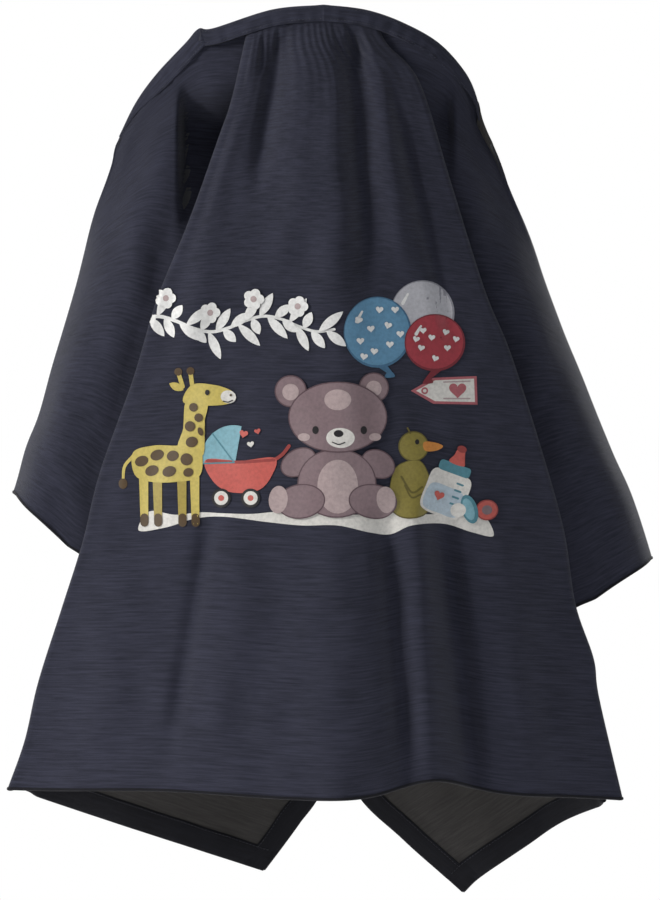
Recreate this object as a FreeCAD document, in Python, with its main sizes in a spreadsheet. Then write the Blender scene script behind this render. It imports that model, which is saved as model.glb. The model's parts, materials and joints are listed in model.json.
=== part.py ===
import FreeCAD, Part
import os

import Sketcher

# Cape-style protective apron: an A-line front, two arm flaps and two back panels hang from an arched
# neck band. Each panel is an outer shell, a lead-vinyl core and a lining, with turned hems inside.
# Frame: +X to the viewer's right, +Y to the back, +Z up. The origin is the middle of the neck opening,
# level with the crown of the neck band. All sizes are millimetres.

SIZES = {
    # Cloth layers, counted inwards from the outer surface of a panel
    "shell_thickness": 1.0,
    "core_thickness": 1.2,
    "lining_thickness": 0.8,
    "hem_thickness": 1.0,
    "film_thickness": 0.4,
    "layer_gap": 0.3,
    "hem_width": 27,
    "band_width": 20,
    "front_tuck": 6.3,
    "blank_reach": 250,
    "front_wrap_y": 60,
    "back_wrap_y": 40,
    "flap_reach": 120,
    # Height of the top and the bottom of the surfaces that the panels are cut from
    "sheet_top": 80,
    "sheet_low": -1045,
    "sheet_centre_x": -15,
    # The front surface: how far forward it is, and how round
    "front_top_y": -84,
    "front_top_radius": 286,
    "front_low_y": -160,
    "front_low_radius": 530,
    # The back surface
    "back_top_y": 54,
    "back_top_radius": 205,
    "back_low_y": 200,
    "back_low_radius": 700,
    # The arm flaps are parts of two slanting tubes round the upper arms
    "left_tube_radius": 105,
    "left_tube_top_x": -64,
    "left_tube_low_x": -406,
    "right_tube_radius": 95,
    "right_tube_top_x": -14,
    "right_tube_low_x": 435,
    "tube_top_y": 49,
    "tube_low_y": 103,
    "flap_wrap_y": 95,
    # Neck band: the arch seen from the front, from shoulder to shoulder over the crown
    "left_shoulder_x": -244,
    "left_shoulder_z": -150,
    "left_slope_x": -205,
    "left_slope_z": -80,
    "left_neck_x": -150,
    "left_neck_z": -30,
    "crown_x": -8,
    "crown_z": 0,
    "right_neck_x": 125,
    "right_neck_z": -43,
    "right_slope_x": 157,
    "right_slope_z": -80,
    "right_shoulder_x": 174,
    "right_shoulder_z": -132,
    # Front panel
    "front_left_top_x": -98,
    "front_left_top_z": -34,
    "front_right_top_x": 66,
    "front_right_top_z": -28,
    "left_underarm_x": -286,
    "left_underarm_z": -619,
    "right_underarm_x": 283,
    "right_underarm_z": -689,
    "left_corner_x": -373,
    "left_corner_z": -904,
    "right_corner_x": 339,
    "right_corner_z": -917,
    # Arm flaps: top edge, lower edge and the margin hidden behind the front panel
    "flap_drop": 12,
    "left_flap_inner_x": -90,
    "left_flap_inner_z": -20,
    "left_flap_mid_x": -182,
    "left_flap_mid_z": -61,
    "left_flap_low_x": -262,
    "left_flap_low_z": -636,
    "left_flap_out_x": -440,
    "left_flap_out_z": -511,
    "right_flap_inner_x": 62,
    "right_flap_inner_z": -22,
    "right_flap_mid_x": 134,
    "right_flap_mid_z": -62,
    "right_flap_low_x": 262,
    "right_flap_low_z": -701,
    "right_flap_out_x": 460,
    "right_flap_out_z": -588,
    # Back panels: shoulder, neckline, centre-back edge and the hanging corners
    "back_corner_inset": 11,
    "left_back_shoulder_x": -148,
    "left_back_shoulder_z": -76,
    "left_back_slope_x": -126,
    "left_back_slope_z": -54,
    "left_back_neck_x": -98,
    "left_back_neck_z": -44,
    "left_neckline_x": -68,
    "left_neckline_z": -74,
    "left_edge_x": -14,
    "left_edge_top_z": -88,
    "left_edge_bend_x": -6,
    "left_edge_bend_z": -860,
    "left_tip_x": -79,
    "left_tip_z": -1000,
    "right_back_shoulder_x": 80,
    "right_back_shoulder_z": -57,
    "right_back_slope_x": 76,
    "right_back_slope_z": -50,
    "right_back_neck_x": 69,
    "right_back_neck_z": -46,
    "right_neckline_x": 54,
    "right_neckline_z": -74,
    "right_edge_x": 22,
    "right_edge_top_z": -88,
    "right_edge_bend_x": 32,
    "right_edge_bend_z": -900,
    "right_tip_x": 160,
    "right_tip_z": -1025,
    "right_hem_mid_x": 232,
    "right_hem_mid_z": -966,
    # Turned hems: how far the free inside of each panel's outline is moved from its edges
    "left_flap_hem_x": 15,
    "right_flap_hem_x": -13,
    "flap_hem_z": 22,
    "back_hem_x": 24,
    "back_hem_z": 36,
    # Neck closure
    "tab_length": 75,
    "tab_height": 30,
    "tab_thickness": 1.6,
    "tab_z": -125,
    "tab_y": 67,
    "strip_inset": 3,
    "hook_length": 36,
    "hook_thickness": 1.2,
    "loop_strip_start_x": 26,
    "loop_strip_length": 40,
    # Hanging loop
    "hanger_width": 36,
    "hanger_height": 62,
    "hanger_tape": 7,
    "hanger_thickness": 1.4,
    "hanger_x": -8,
    "hanger_top_z": -24,
    "hanger_y": -76,
    # Printed film: places of its shapes on the front panel
    "ground_x": -13,
    "ground_z": -598,
    "ground_width": 409,
    "ground_height": 26,
    "bear_x": 4,
    "bear_head_z": -474,
    "bear_size": 46,
    "giraffe_x": -182,
    "giraffe_z": -528,
    "giraffe_size": 46,
    "pram_x": -104,
    "pram_z": -545,
    "pram_size": 38,
    "duck_x": 93,
    "duck_z": -550,
    "duck_size": 21,
    "bottle_x": 132,
    "bottle_z": -560,
    "bottle_size": 27,
    "rattle_x": 170,
    "rattle_z": -580,
    "rattle_size": 11,
    "scroll_x": -106,
    "scroll_z": -367,
    "scroll_width": 220,
    "scroll_height": 44,
    "balloon_x": 54,
    "balloon_z": -376,
    "balloon_radius": 38,
    "balloon_spread": 62,
    "tag_x": 133,
    "tag_z": -444,
    "tag_width": 72,
    "tag_height": 32,
}

SPARE_CELL = "D1"        # a free cell of the sheet, where an expression's present value is worked out
VOLUME_FLOOR = 1.0       # no real piece has less volume than this, in cubic millimetres
ZERO = "0"

document = FreeCAD.newDocument("apron")


def make_sheet():
    sheet = document.addObject("Spreadsheet::Sheet", "Sizes")
    for row, (alias, value) in enumerate(SIZES.items(), start=1):
        sheet.set(f"A{row}", alias)
        sheet.set(f"B{row}", str(value))
        sheet.setAlias(f"B{row}", alias)
    document.recompute()
    return sheet


def cell(alias):
    return f"Sizes.{alias}"


def cells(*aliases):
    return tuple(cell(alias) for alias in aliases)


def bind(thing, **expressions):
    for prop, expression in expressions.items():
        thing.setExpression(prop, expression)


def boolean(kind, name, first, second):
    result = document.addObject(kind, name)
    result.Base = first
    result.Tool = second
    return result


def fuse(name, shapes):
    joined = document.addObject("Part::MultiFuse", name)
    joined.Shapes = shapes
    return joined


def slanting_place(low, top):
    """The placement that stands a round solid on low and points it at top; both are (x, y, z)."""
    run_x, run_y, rise = (f"(({high}) - ({base}))" for base, high in zip(low, top))
    axis = f"create(<<vector>>; -{run_y}; {run_x} + 0.000001; 0)"
    angle = f"atan2(hypot({run_x}; {run_y}); {rise})"
    turn = f"create(<<rotation>>; {axis}; {angle})"
    return f"create(<<placement>>; create(<<vector>>; {'; '.join(low)}); {turn})", (run_x, run_y, rise)


def slanting_cone(name, low, top, low_radius, top_radius, offset):
    cone = document.addObject("Part::Cone", name)
    place, runs = slanting_place(low, top)
    bind(cone, Radius1=f"{low_radius} + {offset}", Radius2=f"{top_radius} + {offset}",
         Height=f"hypot({'; '.join(runs)})", Placement=place)
    return cone


def front_surface(name, offset):
    low = (cell("sheet_centre_x"), "Sizes.front_low_y + Sizes.front_low_radius", cell("sheet_low"))
    top = (cell("sheet_centre_x"), "Sizes.front_top_y + Sizes.front_top_radius", cell("sheet_top"))
    return slanting_cone(name, low, top, *cells("front_low_radius", "front_top_radius"), offset)


def back_surface(name, offset):
    low = (cell("sheet_centre_x"), "Sizes.back_low_y - Sizes.back_low_radius", cell("sheet_low"))
    top = (cell("sheet_centre_x"), "Sizes.back_top_y - Sizes.back_top_radius", cell("sheet_top"))
    return slanting_cone(name, low, top, *cells("back_low_radius", "back_top_radius"), offset)


def flap_surface(side):
    def surface(name, offset):
        low = cells(f"{side}_tube_low_x", "tube_low_y", "sheet_low")
        top = cells(f"{side}_tube_top_x", "tube_top_y", "sheet_top")
        radius = cell(f"{side}_tube_radius")
        tube = document.addObject("Part::Cylinder", name)
        place, runs = slanting_place(low, top)
        bind(tube, Radius=f"{radius} + {offset}", Height=f"hypot({'; '.join(runs)})", Placement=place)
        return tube
    return surface


def layer(name, surface, outer, inner):
    """The thin skin between two offsets of a panel's surface."""
    return boolean("Part::Cut", f"{name}_skin", surface(f"{name}_outside", outer),
                   surface(f"{name}_inside", inner))


SHELL = ("0", "-Sizes.shell_thickness")
CORE_OUTER = f"({SHELL[1]} - Sizes.layer_gap)"
CORE = (CORE_OUTER, f"({CORE_OUTER} - Sizes.core_thickness)")
LINING_OUTER = f"({CORE[1]} - Sizes.layer_gap)"
LINING = (LINING_OUTER, f"({LINING_OUTER} - Sizes.lining_thickness)")
HEM_OUTER = f"({LINING[1]} - Sizes.layer_gap)"
HEM = (HEM_OUTER, f"({HEM_OUTER} - Sizes.hem_thickness)")
FACING_OUTER = f"({HEM_OUTER} - Sizes.hem_thickness - Sizes.layer_gap)"
FACING = (FACING_OUTER, f"({FACING_OUTER} - Sizes.lining_thickness)")
PROUD = ("(Sizes.layer_gap + Sizes.shell_thickness)", "Sizes.layer_gap")
FILM = ("(Sizes.layer_gap + Sizes.film_thickness)", "Sizes.layer_gap")
# How far the cutting outlines reach towards the front and the back, measured from the middle plane
FRONT_DEPTHS = ("-Sizes.blank_reach", "Sizes.front_wrap_y")
BACK_DEPTHS = ("-Sizes.back_wrap_y", "Sizes.blank_reach")


def number(expression):
    """The present value of an expression in the sheet's sizes."""
    sheet = document.Sizes
    sheet.set(SPARE_CELL, "=" + expression.replace("Sizes.", ""))
    sheet.recompute()
    return float(sheet.get(SPARE_CELL))


def sketch_point(sketch, element, position, point, label):
    """Pin one end of a sketch element to a place whose two coordinates come from the sheet."""
    for kind, expression, tag in zip(("DistanceX", "DistanceY"), point, "xz"):
        distance = Sketcher.Constraint(kind, -1, 1, element, position, number(expression))
        index = sketch.addConstraint(distance)
        sketch.renameConstraint(index, f"{label}_{tag}")
        sketch.setExpression(f"Constraints.{label}_{tag}", expression)


def numbers(point):
    return FreeCAD.Vector(*map(number, point), 0)


def outline(name, start, steps):
    """A closed sketch in the XZ plane. A step is (end,) for a line or (via, end) for an arc."""
    sketch = document.addObject("Sketcher::SketchObject", name)
    sketch.Placement = FreeCAD.Placement(FreeCAD.Vector(), FreeCAD.Rotation(FreeCAD.Vector(1, 0, 0), 90))
    here = start
    for number, step in enumerate(steps):
        end = step[-1]
        if len(step) == 1:
            element = sketch.addGeometry(Part.LineSegment(numbers(here), numbers(end)))
            first, last = 1, 2
        else:
            arc = Part.Arc(numbers(here), numbers(step[0]), numbers(end))
            element = sketch.addGeometry(arc)
            turned = sketch.getPoint(element, 1).distanceToPoint(numbers(here)) > 0.01
            first, last = (2, 1) if turned else (1, 2)
            guide = sketch.addGeometry(Part.Point(numbers(step[0])), True)
            sketch.addConstraint(Sketcher.Constraint("PointOnObject", guide, 1, element))
            sketch_point(sketch, guide, 1, step[0], f"via{number}")
        if number:
            sketch.addConstraint(Sketcher.Constraint("Coincident", previous[0], previous[1], element, first))
        else:
            opening = (element, first)
            sketch_point(sketch, element, first, start, "start")
        if number == len(steps) - 1:
            sketch.addConstraint(Sketcher.Constraint("Coincident", element, last, *opening))
        else:
            sketch_point(sketch, element, last, end, f"point{number}")
        previous = (element, last)
        here = end
    return sketch


def prism(name, face, near, far, shift=(ZERO, ZERO)):
    """Extrude an outline through the depth from near to far, moved by shift along X and Z."""
    solid = document.addObject("Part::Extrusion", name)
    solid.Base = face
    solid.DirMode = "Custom"
    solid.Dir = FreeCAD.Vector(0, 1, 0)
    solid.Solid = True
    bind(solid, LengthFwd=far, LengthRev=f"-({near})",
         Placement=f"create(<<placement>>; create(<<vector>>; {shift[0]}; 0; {shift[1]}); "
                   "create(<<rotation>>; create(<<vector>>; 0; 0; 1); 0))")
    return solid


def panel(name, surface, depths, blank):
    """One cloth piece: a layer of the panel's surface, cut to the shape of the blank."""
    piece = boolean("Part::Common", name, layer(name, surface, *depths), blank)
    piece.Label = name
    return piece


def hem_blank(name, face, near, far, shift):
    """The strip of an outline that a copy of it, moved by shift, leaves free."""
    return boolean("Part::Cut", f"{name}_strip", prism(f"{name}_full", face, near, far),
                   prism(f"{name}_rest", face, near, far, shift))


def layered_panel(prefix, surface, face, near, far, hem_shift):
    """Shell, core, lining and turned hem of one panel."""
    pieces = [
        panel(f"{prefix}_shell", surface, SHELL, prism(f"{prefix}_shell_blank", face, near, far)),
        panel(f"{prefix}_core", surface, CORE, prism(f"{prefix}_core_blank", face, near, far)),
        panel(f"{prefix}_lining", surface, LINING, prism(f"{prefix}_lining_blank", face, near, far)),
    ]
    hem = panel(f"{prefix}_hem", surface, HEM, hem_blank(f"{prefix}_hem", face, near, far, hem_shift))
    return pieces + [hem]


def front_panel():
    corners = cells("front_left_top_x", "front_left_top_z")
    crown = (cell("crown_x"), "Sizes.crown_z - Sizes.front_tuck")
    face = outline("front_outline", corners, [
        (crown, cells("front_right_top_x", "front_right_top_z")),
        (cells("right_underarm_x", "right_underarm_z"),),
        (cells("right_corner_x", "right_corner_z"),),
        (cells("left_corner_x", "left_corner_z"),),
        (cells("left_underarm_x", "left_underarm_z"),),
        (corners,),
    ])
    return layered_panel("front", front_surface, face, *FRONT_DEPTHS, (ZERO, cell("hem_width")))


def band_inside(corner, across, up):
    """A point of the band's lower edge: a corner of the arch, moved by shares of the band's width."""
    return (f"Sizes.{corner}_x + {across} * Sizes.band_width", f"Sizes.{corner}_z + {up} * Sizes.band_width")


def neck_band():
    face = outline("band_outline", cells("left_shoulder_x", "left_shoulder_z"), [
        (cells("left_slope_x", "left_slope_z"), cells("left_neck_x", "left_neck_z")),
        (cells("crown_x", "crown_z"), cells("right_neck_x", "right_neck_z")),
        (cells("right_slope_x", "right_slope_z"), cells("right_shoulder_x", "right_shoulder_z")),
        (band_inside("right_shoulder", -1, 0),),
        (band_inside("right_slope", -0.8, -0.6), band_inside("right_neck", -0.4, -0.9)),
        (band_inside("crown", 0, -1), band_inside("left_neck", 0.5, -0.85)),
        (band_inside("left_slope", 0.85, -0.55), band_inside("left_shoulder", 1, 0)),
        (cells("left_shoulder_x", "left_shoulder_z"),),
    ])
    blank = prism("band_blank", face, *FRONT_DEPTHS)
    facing_blank = prism("facing_blank", face, *FRONT_DEPTHS)
    return [panel("neck_band", front_surface, PROUD, blank),
            panel("neck_band_facing", front_surface, FACING, facing_blank)]


def arm_flap(side):
    inner = cells(f"{side}_flap_inner_x", f"{side}_flap_inner_z")
    shoulder_z = f"Sizes.{side}_shoulder_z + Sizes.flap_drop"
    face = outline(f"{side}_flap_outline", inner, [
        (cells(f"{side}_flap_mid_x", f"{side}_flap_mid_z"), (cell(f"{side}_shoulder_x"), shoulder_z)),
        ((cell(f"{side}_flap_out_x"), shoulder_z),),
        (cells(f"{side}_flap_out_x", f"{side}_flap_out_z"),),
        (cells(f"{side}_flap_low_x", f"{side}_flap_low_z"),),
        (inner,),
    ])
    depths = ("-Sizes.flap_reach", cell("flap_wrap_y"))
    hem_shift = cells(f"{side}_flap_hem_x", "flap_hem_z")
    return layered_panel(f"{side}_flap", flap_surface(side), face, *depths, hem_shift)


def back_panel(side, inward, hem_steps):
    """A back panel; inward is the sign of X that leads from its hem corner to the middle."""
    start = cells(f"{side}_back_shoulder_x", f"{side}_back_shoulder_z")
    corner_x = f"Sizes.{side}_corner_x + {inward} * Sizes.back_corner_inset"
    steps = [
        (cells(f"{side}_back_slope_x", f"{side}_back_slope_z"),
         cells(f"{side}_back_neck_x", f"{side}_back_neck_z")),
        (cells(f"{side}_neckline_x", f"{side}_neckline_z"), cells(f"{side}_edge_x", f"{side}_edge_top_z")),
        (cells(f"{side}_edge_bend_x", f"{side}_edge_bend_z"),),
        (cells(f"{side}_tip_x", f"{side}_tip_z"),),
        *hem_steps,
        ((corner_x, cell(f"{side}_corner_z")),),
        (cells(f"{side}_underarm_x", f"{side}_underarm_z"),),
        (start,),
    ]
    face = outline(f"{side}_back_outline", start, steps)
    hem_shift = (f"-({inward}) * Sizes.back_hem_x", cell("back_hem_z"))
    return layered_panel(f"{side}_back", back_surface, face, *BACK_DEPTHS, hem_shift)


def box(name, low, size):
    block = document.addObject("Part::Box", name)
    bind(block, Length=size[0], Width=size[1], Height=size[2],
         Placement=f"create(<<placement>>; create(<<vector>>; {'; '.join(low)}); "
                   "create(<<rotation>>; create(<<vector>>; 0; 0; 1); 0))")
    return block


def plate(name, centre_x, centre_z, width, height):
    reach = cell("blank_reach")
    low = (f"{centre_x} - ({width}) / 2", f"-{reach}", f"{centre_z} - ({height}) / 2")
    return box(name, low, (width, reach, height))


def disc(name, centre_x, centre_z, radius):
    round_blank = document.addObject("Part::Cylinder", name)
    bind(round_blank, Radius=radius, Height=cell("blank_reach"),
         Placement=f"create(<<placement>>; create(<<vector>>; {centre_x}; 0; {centre_z}); "
                   "create(<<rotation>>; create(<<vector>>; 1; 0; 0); 90))")
    return round_blank


def film(name, blank):
    return panel(name, front_surface, FILM, blank)


def nursery_print():
    """Plain toy shapes that stand on a strip of ground: animals, a pram, a bottle and a rattle."""
    bear, giraffe, pram = (cell(f"{toy}_size") for toy in ("bear", "giraffe", "pram"))
    duck, bottle, rattle = (cell(f"{toy}_size") for toy in ("duck", "bottle", "rattle"))
    blanks = [
        plate("ground", *cells("ground_x", "ground_z", "ground_width", "ground_height")),
        disc("bear_head", *cells("bear_x", "bear_head_z"), bear),
        disc("bear_body", cell("bear_x"), f"Sizes.bear_head_z - 1.55 * {bear}", f"0.95 * {bear}"),
        plate("giraffe_body", *cells("giraffe_x", "giraffe_z"), f"1.8 * {giraffe}", giraffe),
        plate("giraffe_neck", f"Sizes.giraffe_x + 0.5 * {giraffe}",
              f"Sizes.giraffe_z + 1.15 * {giraffe}", f"0.5 * {giraffe}", f"1.8 * {giraffe}"),
        plate("giraffe_head", f"Sizes.giraffe_x + 0.95 * {giraffe}",
              f"Sizes.giraffe_z + 1.75 * {giraffe}", f"1.1 * {giraffe}", f"0.6 * {giraffe}"),
        plate("pram_body", *cells("pram_x", "pram_z"), f"2.1 * {pram}", f"0.9 * {pram}"),
        disc("pram_hood", f"Sizes.pram_x - 0.6 * {pram}", f"Sizes.pram_z + 0.55 * {pram}", f"0.6 * {pram}"),
        disc("duck_body", *cells("duck_x", "duck_z"), f"1.3 * {duck}"),
        disc("duck_head", cell("duck_x"), f"Sizes.duck_z + 2 * {duck}", f"0.75 * {duck}"),
        plate("bottle_body", *cells("bottle_x", "bottle_z"), f"1.6 * {bottle}", f"2.2 * {bottle}"),
        disc("bottle_teat", f"Sizes.bottle_x + 0.5 * {bottle}", f"Sizes.bottle_z + 1.6 * {bottle}",
             f"0.6 * {bottle}"),
        disc("rattle", *cells("rattle_x", "rattle_z"), rattle),
    ]
    for ear_side in (-1, 1):
        ear_x = f"Sizes.bear_x + {ear_side} * 0.95 * {bear}"
        blanks.append(disc(f"bear_ear{ear_side + 1}", ear_x, f"Sizes.bear_head_z + 0.65 * {bear}",
                           f"0.38 * {bear}"))
        leg_x = f"Sizes.giraffe_x + {ear_side} * 0.6 * {giraffe}"
        blanks.append(plate(f"giraffe_leg{ear_side + 1}", leg_x, f"Sizes.giraffe_z - 0.95 * {giraffe}",
                            f"0.3 * {giraffe}", f"1.2 * {giraffe}"))
    return film("nursery_print", fuse("nursery_blanks", blanks))


def printed_film():
    radius = cell("balloon_radius")
    tag = plate("tag", *cells("tag_x", "tag_z", "tag_width", "tag_height"))
    balloons = [
        disc("blue_balloon", *cells("balloon_x", "balloon_z"), radius),
        disc("white_balloon", f"Sizes.balloon_x + 0.9 * Sizes.balloon_spread",
             f"Sizes.balloon_z + 0.6 * {radius}", f"0.92 * {radius}"),
        disc("red_balloon", f"Sizes.balloon_x + 1.1 * Sizes.balloon_spread",
             f"Sizes.balloon_z - 0.3 * {radius}", f"0.9 * {radius}"),
    ]
    scroll = plate("scroll", *cells("scroll_x", "scroll_z", "scroll_width", "scroll_height"))
    return [nursery_print(), film("balloon_print", fuse("balloon_blanks", balloons)),
            film("tag_print", tag), film("scroll_print", scroll)]


def neck_closure():
    """A tab on the left back edge, stored folded back, with hooks that meet the right panel's loops."""
    tab_low_z = "Sizes.tab_z - Sizes.tab_height / 2"
    tab_left = "Sizes.left_edge_x - Sizes.tab_length"
    tab = box("closure_tab", (tab_left, cell("tab_y"), tab_low_z),
              cells("tab_length", "tab_thickness", "tab_height"))
    strip_low_z = f"{tab_low_z} + Sizes.strip_inset"
    strip_height = "Sizes.tab_height - 2 * Sizes.strip_inset"
    hook_low = (f"{tab_left} + Sizes.strip_inset", "Sizes.tab_y + Sizes.tab_thickness", strip_low_z)
    hook = box("hook_strip", hook_low, (*cells("hook_length", "hook_thickness"), strip_height))
    blank = box("loop_strip_blank", (cell("loop_strip_start_x"), ZERO, strip_low_z),
                (*cells("loop_strip_length", "blank_reach"), strip_height))
    for piece in (tab, hook):
        piece.Label = piece.Name
    return [tab, hook, panel("loop_strip", back_surface, PROUD, blank)]


def hanging_loop():
    """A flat tape loop inside the crown of the band, with a round lower end."""
    def ring(name, inset):
        width = f"(Sizes.hanger_width - 2 * {inset})"
        height = f"(Sizes.hanger_height - Sizes.hanger_width / 2 - {inset})"
        top = f"Sizes.hanger_top_z - {inset}"
        flat = box(f"{name}_flat", (f"Sizes.hanger_x - {width} / 2", cell("hanger_y"), f"{top} - {height}"),
                   (width, cell("hanger_thickness"), height))
        end = document.addObject("Part::Cylinder", f"{name}_end")
        bind(end, Radius=f"{width} / 2", Height=cell("hanger_thickness"),
             Placement="create(<<placement>>; create(<<vector>>; Sizes.hanger_x; "
                       f"Sizes.hanger_y + Sizes.hanger_thickness; {top} - {height}); "
                       "create(<<rotation>>; create(<<vector>>; 1; 0; 0); 90))")
        return fuse(name, [flat, end])
    loop = boolean("Part::Cut", "hanging_loop", ring("loop_outer", "0"),
                   ring("loop_eye", cell("hanger_tape")))
    loop.Label = "hanging_loop"
    return loop


def check(pieces):
    for thing in document.Objects:
        troubles = {"Invalid", "Error"} & set(thing.State)
        if troubles:
            raise RuntimeError(f"{thing.Name} is {troubles}")
    for piece in pieces:
        shape = piece.Shape
        if shape.isNull() or not shape.isValid() or shape.Volume < VOLUME_FLOOR:
            raise RuntimeError(f"{piece.Label} has no valid shape")
        print(f"{piece.Label}: {len(shape.Solids)} solid(s), {shape.Volume:.0f} mm3, {shape.BoundBox}")


make_sheet()
sub_parts = [
    *front_panel(),
    *neck_band(),
    *printed_film(),
    *arm_flap("left"),
    *arm_flap("right"),
    *back_panel("left", 1, []),
    *back_panel("right", -1, [(cells("right_hem_mid_x", "right_hem_mid_z"),)]),
    *neck_closure(),
    hanging_loop(),
]
document.recompute()
check(sub_parts)
os.makedirs("parts", exist_ok=True)
for sub_part in sub_parts:
    sub_part.Shape.exportStep(f"parts/{sub_part.Label}.step")
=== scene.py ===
import json
import math

import bmesh
import bpy
import numpy as np
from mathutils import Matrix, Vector
from mathutils.bvhtree import BVHTree


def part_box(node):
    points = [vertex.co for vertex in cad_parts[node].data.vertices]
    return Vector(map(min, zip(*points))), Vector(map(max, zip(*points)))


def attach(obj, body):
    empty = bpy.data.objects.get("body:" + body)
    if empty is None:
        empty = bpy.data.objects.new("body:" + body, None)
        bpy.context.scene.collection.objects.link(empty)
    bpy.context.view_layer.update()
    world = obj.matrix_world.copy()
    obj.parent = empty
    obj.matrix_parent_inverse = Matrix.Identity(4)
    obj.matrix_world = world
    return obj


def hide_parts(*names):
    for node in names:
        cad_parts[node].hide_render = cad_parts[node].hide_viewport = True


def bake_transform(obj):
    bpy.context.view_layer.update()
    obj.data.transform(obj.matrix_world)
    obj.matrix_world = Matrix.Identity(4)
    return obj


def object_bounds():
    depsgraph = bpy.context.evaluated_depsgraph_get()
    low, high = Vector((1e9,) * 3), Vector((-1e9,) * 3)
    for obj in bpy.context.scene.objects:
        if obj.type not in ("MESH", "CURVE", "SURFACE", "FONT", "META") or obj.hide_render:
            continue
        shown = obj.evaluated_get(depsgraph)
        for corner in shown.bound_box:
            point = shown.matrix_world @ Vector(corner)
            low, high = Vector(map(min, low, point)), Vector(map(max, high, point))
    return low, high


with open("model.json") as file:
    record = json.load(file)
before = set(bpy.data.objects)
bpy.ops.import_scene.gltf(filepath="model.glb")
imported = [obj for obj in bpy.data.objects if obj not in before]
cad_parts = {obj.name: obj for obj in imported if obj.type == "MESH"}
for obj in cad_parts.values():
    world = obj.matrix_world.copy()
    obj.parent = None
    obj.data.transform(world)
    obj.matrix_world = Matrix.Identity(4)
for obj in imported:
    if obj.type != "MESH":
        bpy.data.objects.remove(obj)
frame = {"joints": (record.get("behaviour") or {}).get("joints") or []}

for leftover in ("Cube", "Light", "Camera"):
    if leftover in bpy.data.objects:
        bpy.data.objects.remove(bpy.data.objects[leftover])
cad_low, cad_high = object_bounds()

# ---------------------------------------------------------------- sizes, in metres

CORE_OFFSET = -0.0018        # offsets run outwards from a panel's outer surface
LINING_OFFSET = -0.0032
HEM_OFFSET = -0.0046
HEM_WIDTH = 0.027
BAND_WIDTH = 0.019
FILM_LIFT = 0.0003
FILM_CELL = 0.005            # the print is cut into cells this wide, so that it follows the folds
FILM_STEP = 0.00006          # each colour of the print lies this much over the last
EDGE_ROLL = 0.0080           # radius with which the front panel turns under at its side folds
FLAP_BEHIND = 0.034          # how far an arm flap hangs behind the side fold of the front
CREST = 0.54                 # where the front's middle ridge runs, as a share of its width
EDGE_SHARE = 0.045           # share of the front's cloth width that each turned-under edge takes
EDGE_TURN = math.radians(205)
STITCH_INSET = 0.0025        # from a hem's inner edge to its stitches
STITCH_LIFT = 0.0009         # how proud of the hem the stitches lie
FLAP_HEM = (("low", 0.020), ("last", 0.018))
BACK_HEM = (("low", HEM_WIDTH), ("last", HEM_WIDTH))
FLAP_SWEEP = (math.radians(-17), math.radians(112))  # how far round the arm a flap's section runs
FLAP_SQUARENESS = 0.76       # 1 is a round section, less is squarer
FLAP_TUCK_IN = 0.026         # how far a flap's inner edge runs in behind the front's side fold
FLAP_TUCK_BACK = 0.0165
BACK_TUCK_BACK = 0.0150      # the same for the back panels, below the flaps
BACK_TUCK_IN = 0.008
UNDER_BAND = 0.016           # from the band back to the top of a back panel
STITCH_PITCH = 0.0042
STITCH_LENGTH = 0.0027
THREAD_RADIUS = 0.00032
TAPE_WIDTH = 0.007
FILM_GLOSS = 0.42
TOY_RIM = 1.5                # millimetres of darker outline round the printed bear's parts


def spot(node, across, up):
    """The (x, z) at these shares of a CAD node's box, seen from the front."""
    low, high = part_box(node)
    return (low.x + (high.x - low.x) * across, low.z + (high.z - low.z) * up)


def outline(node, *shares):
    return [spot(node, *share) for share in shares]


def smooth(t):
    t = np.clip(t, 0, 1)
    return t * t * (3 - 2 * t)


def spline(a, b, c, d, t):
    """The smooth step from b to c, given the points before and after."""
    square, cube = 2 * a - 5 * b + 4 * c - d, 3 * b - a - 3 * c + d
    return 0.5 * (2 * b + (c - a) * t + square * t ** 2 + cube * t ** 3)


def curve_through(points, count_or_places):
    """A Catmull-Rom curve through the points, at that many even steps or at these shares of its length."""
    points = np.asarray(points, float)
    if np.isscalar(count_or_places):
        places = np.linspace(0, 1, count_or_places)
    else:
        places = np.asarray(count_or_places, float)
    runs = np.concatenate([[0], np.cumsum(np.linalg.norm(np.diff(points, axis=0), axis=1))])
    runs /= runs[-1]
    ends = np.vstack([2 * points[0] - points[1], points, 2 * points[-1] - points[-2]])
    index = np.clip(np.searchsorted(runs, places, side="right") - 1, 0, len(points) - 2)
    share = ((places - runs[index]) / (runs[index + 1] - runs[index]))[..., None]
    return spline(*(ends[index + step] for step in range(4)), share)


def patch(top, low, first, last, u, v):
    """Fill four edge curves with a smooth net of (x, z) points."""
    upper, lower = curve_through(top, u[0])[None], curve_through(low, u[0])[None]
    left, right = curve_through(first, v[:, 0])[:, None], curve_through(last, v[:, 0])[:, None]
    u, v = u[..., None], v[..., None]
    edges = (1 - u) * left + u * right + (1 - v) * upper + v * lower
    corners = ((1 - u) * (1 - v) * upper[:, :1] + u * (1 - v) * upper[:, -1:]
               + (1 - u) * v * lower[:, :1] + u * v * lower[:, -1:])
    return edges - corners


def side_line(points):
    """x as a smooth function of z along a line that runs down the apron."""
    dense = curve_through(points, 200)
    order = np.argsort(dense[:, 1])
    xs, zs = dense[order, 0], dense[order, 1]
    return lambda z: np.interp(z, zs, xs)


# ---------------------------------------------------------------- outlines, from the frame

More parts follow.
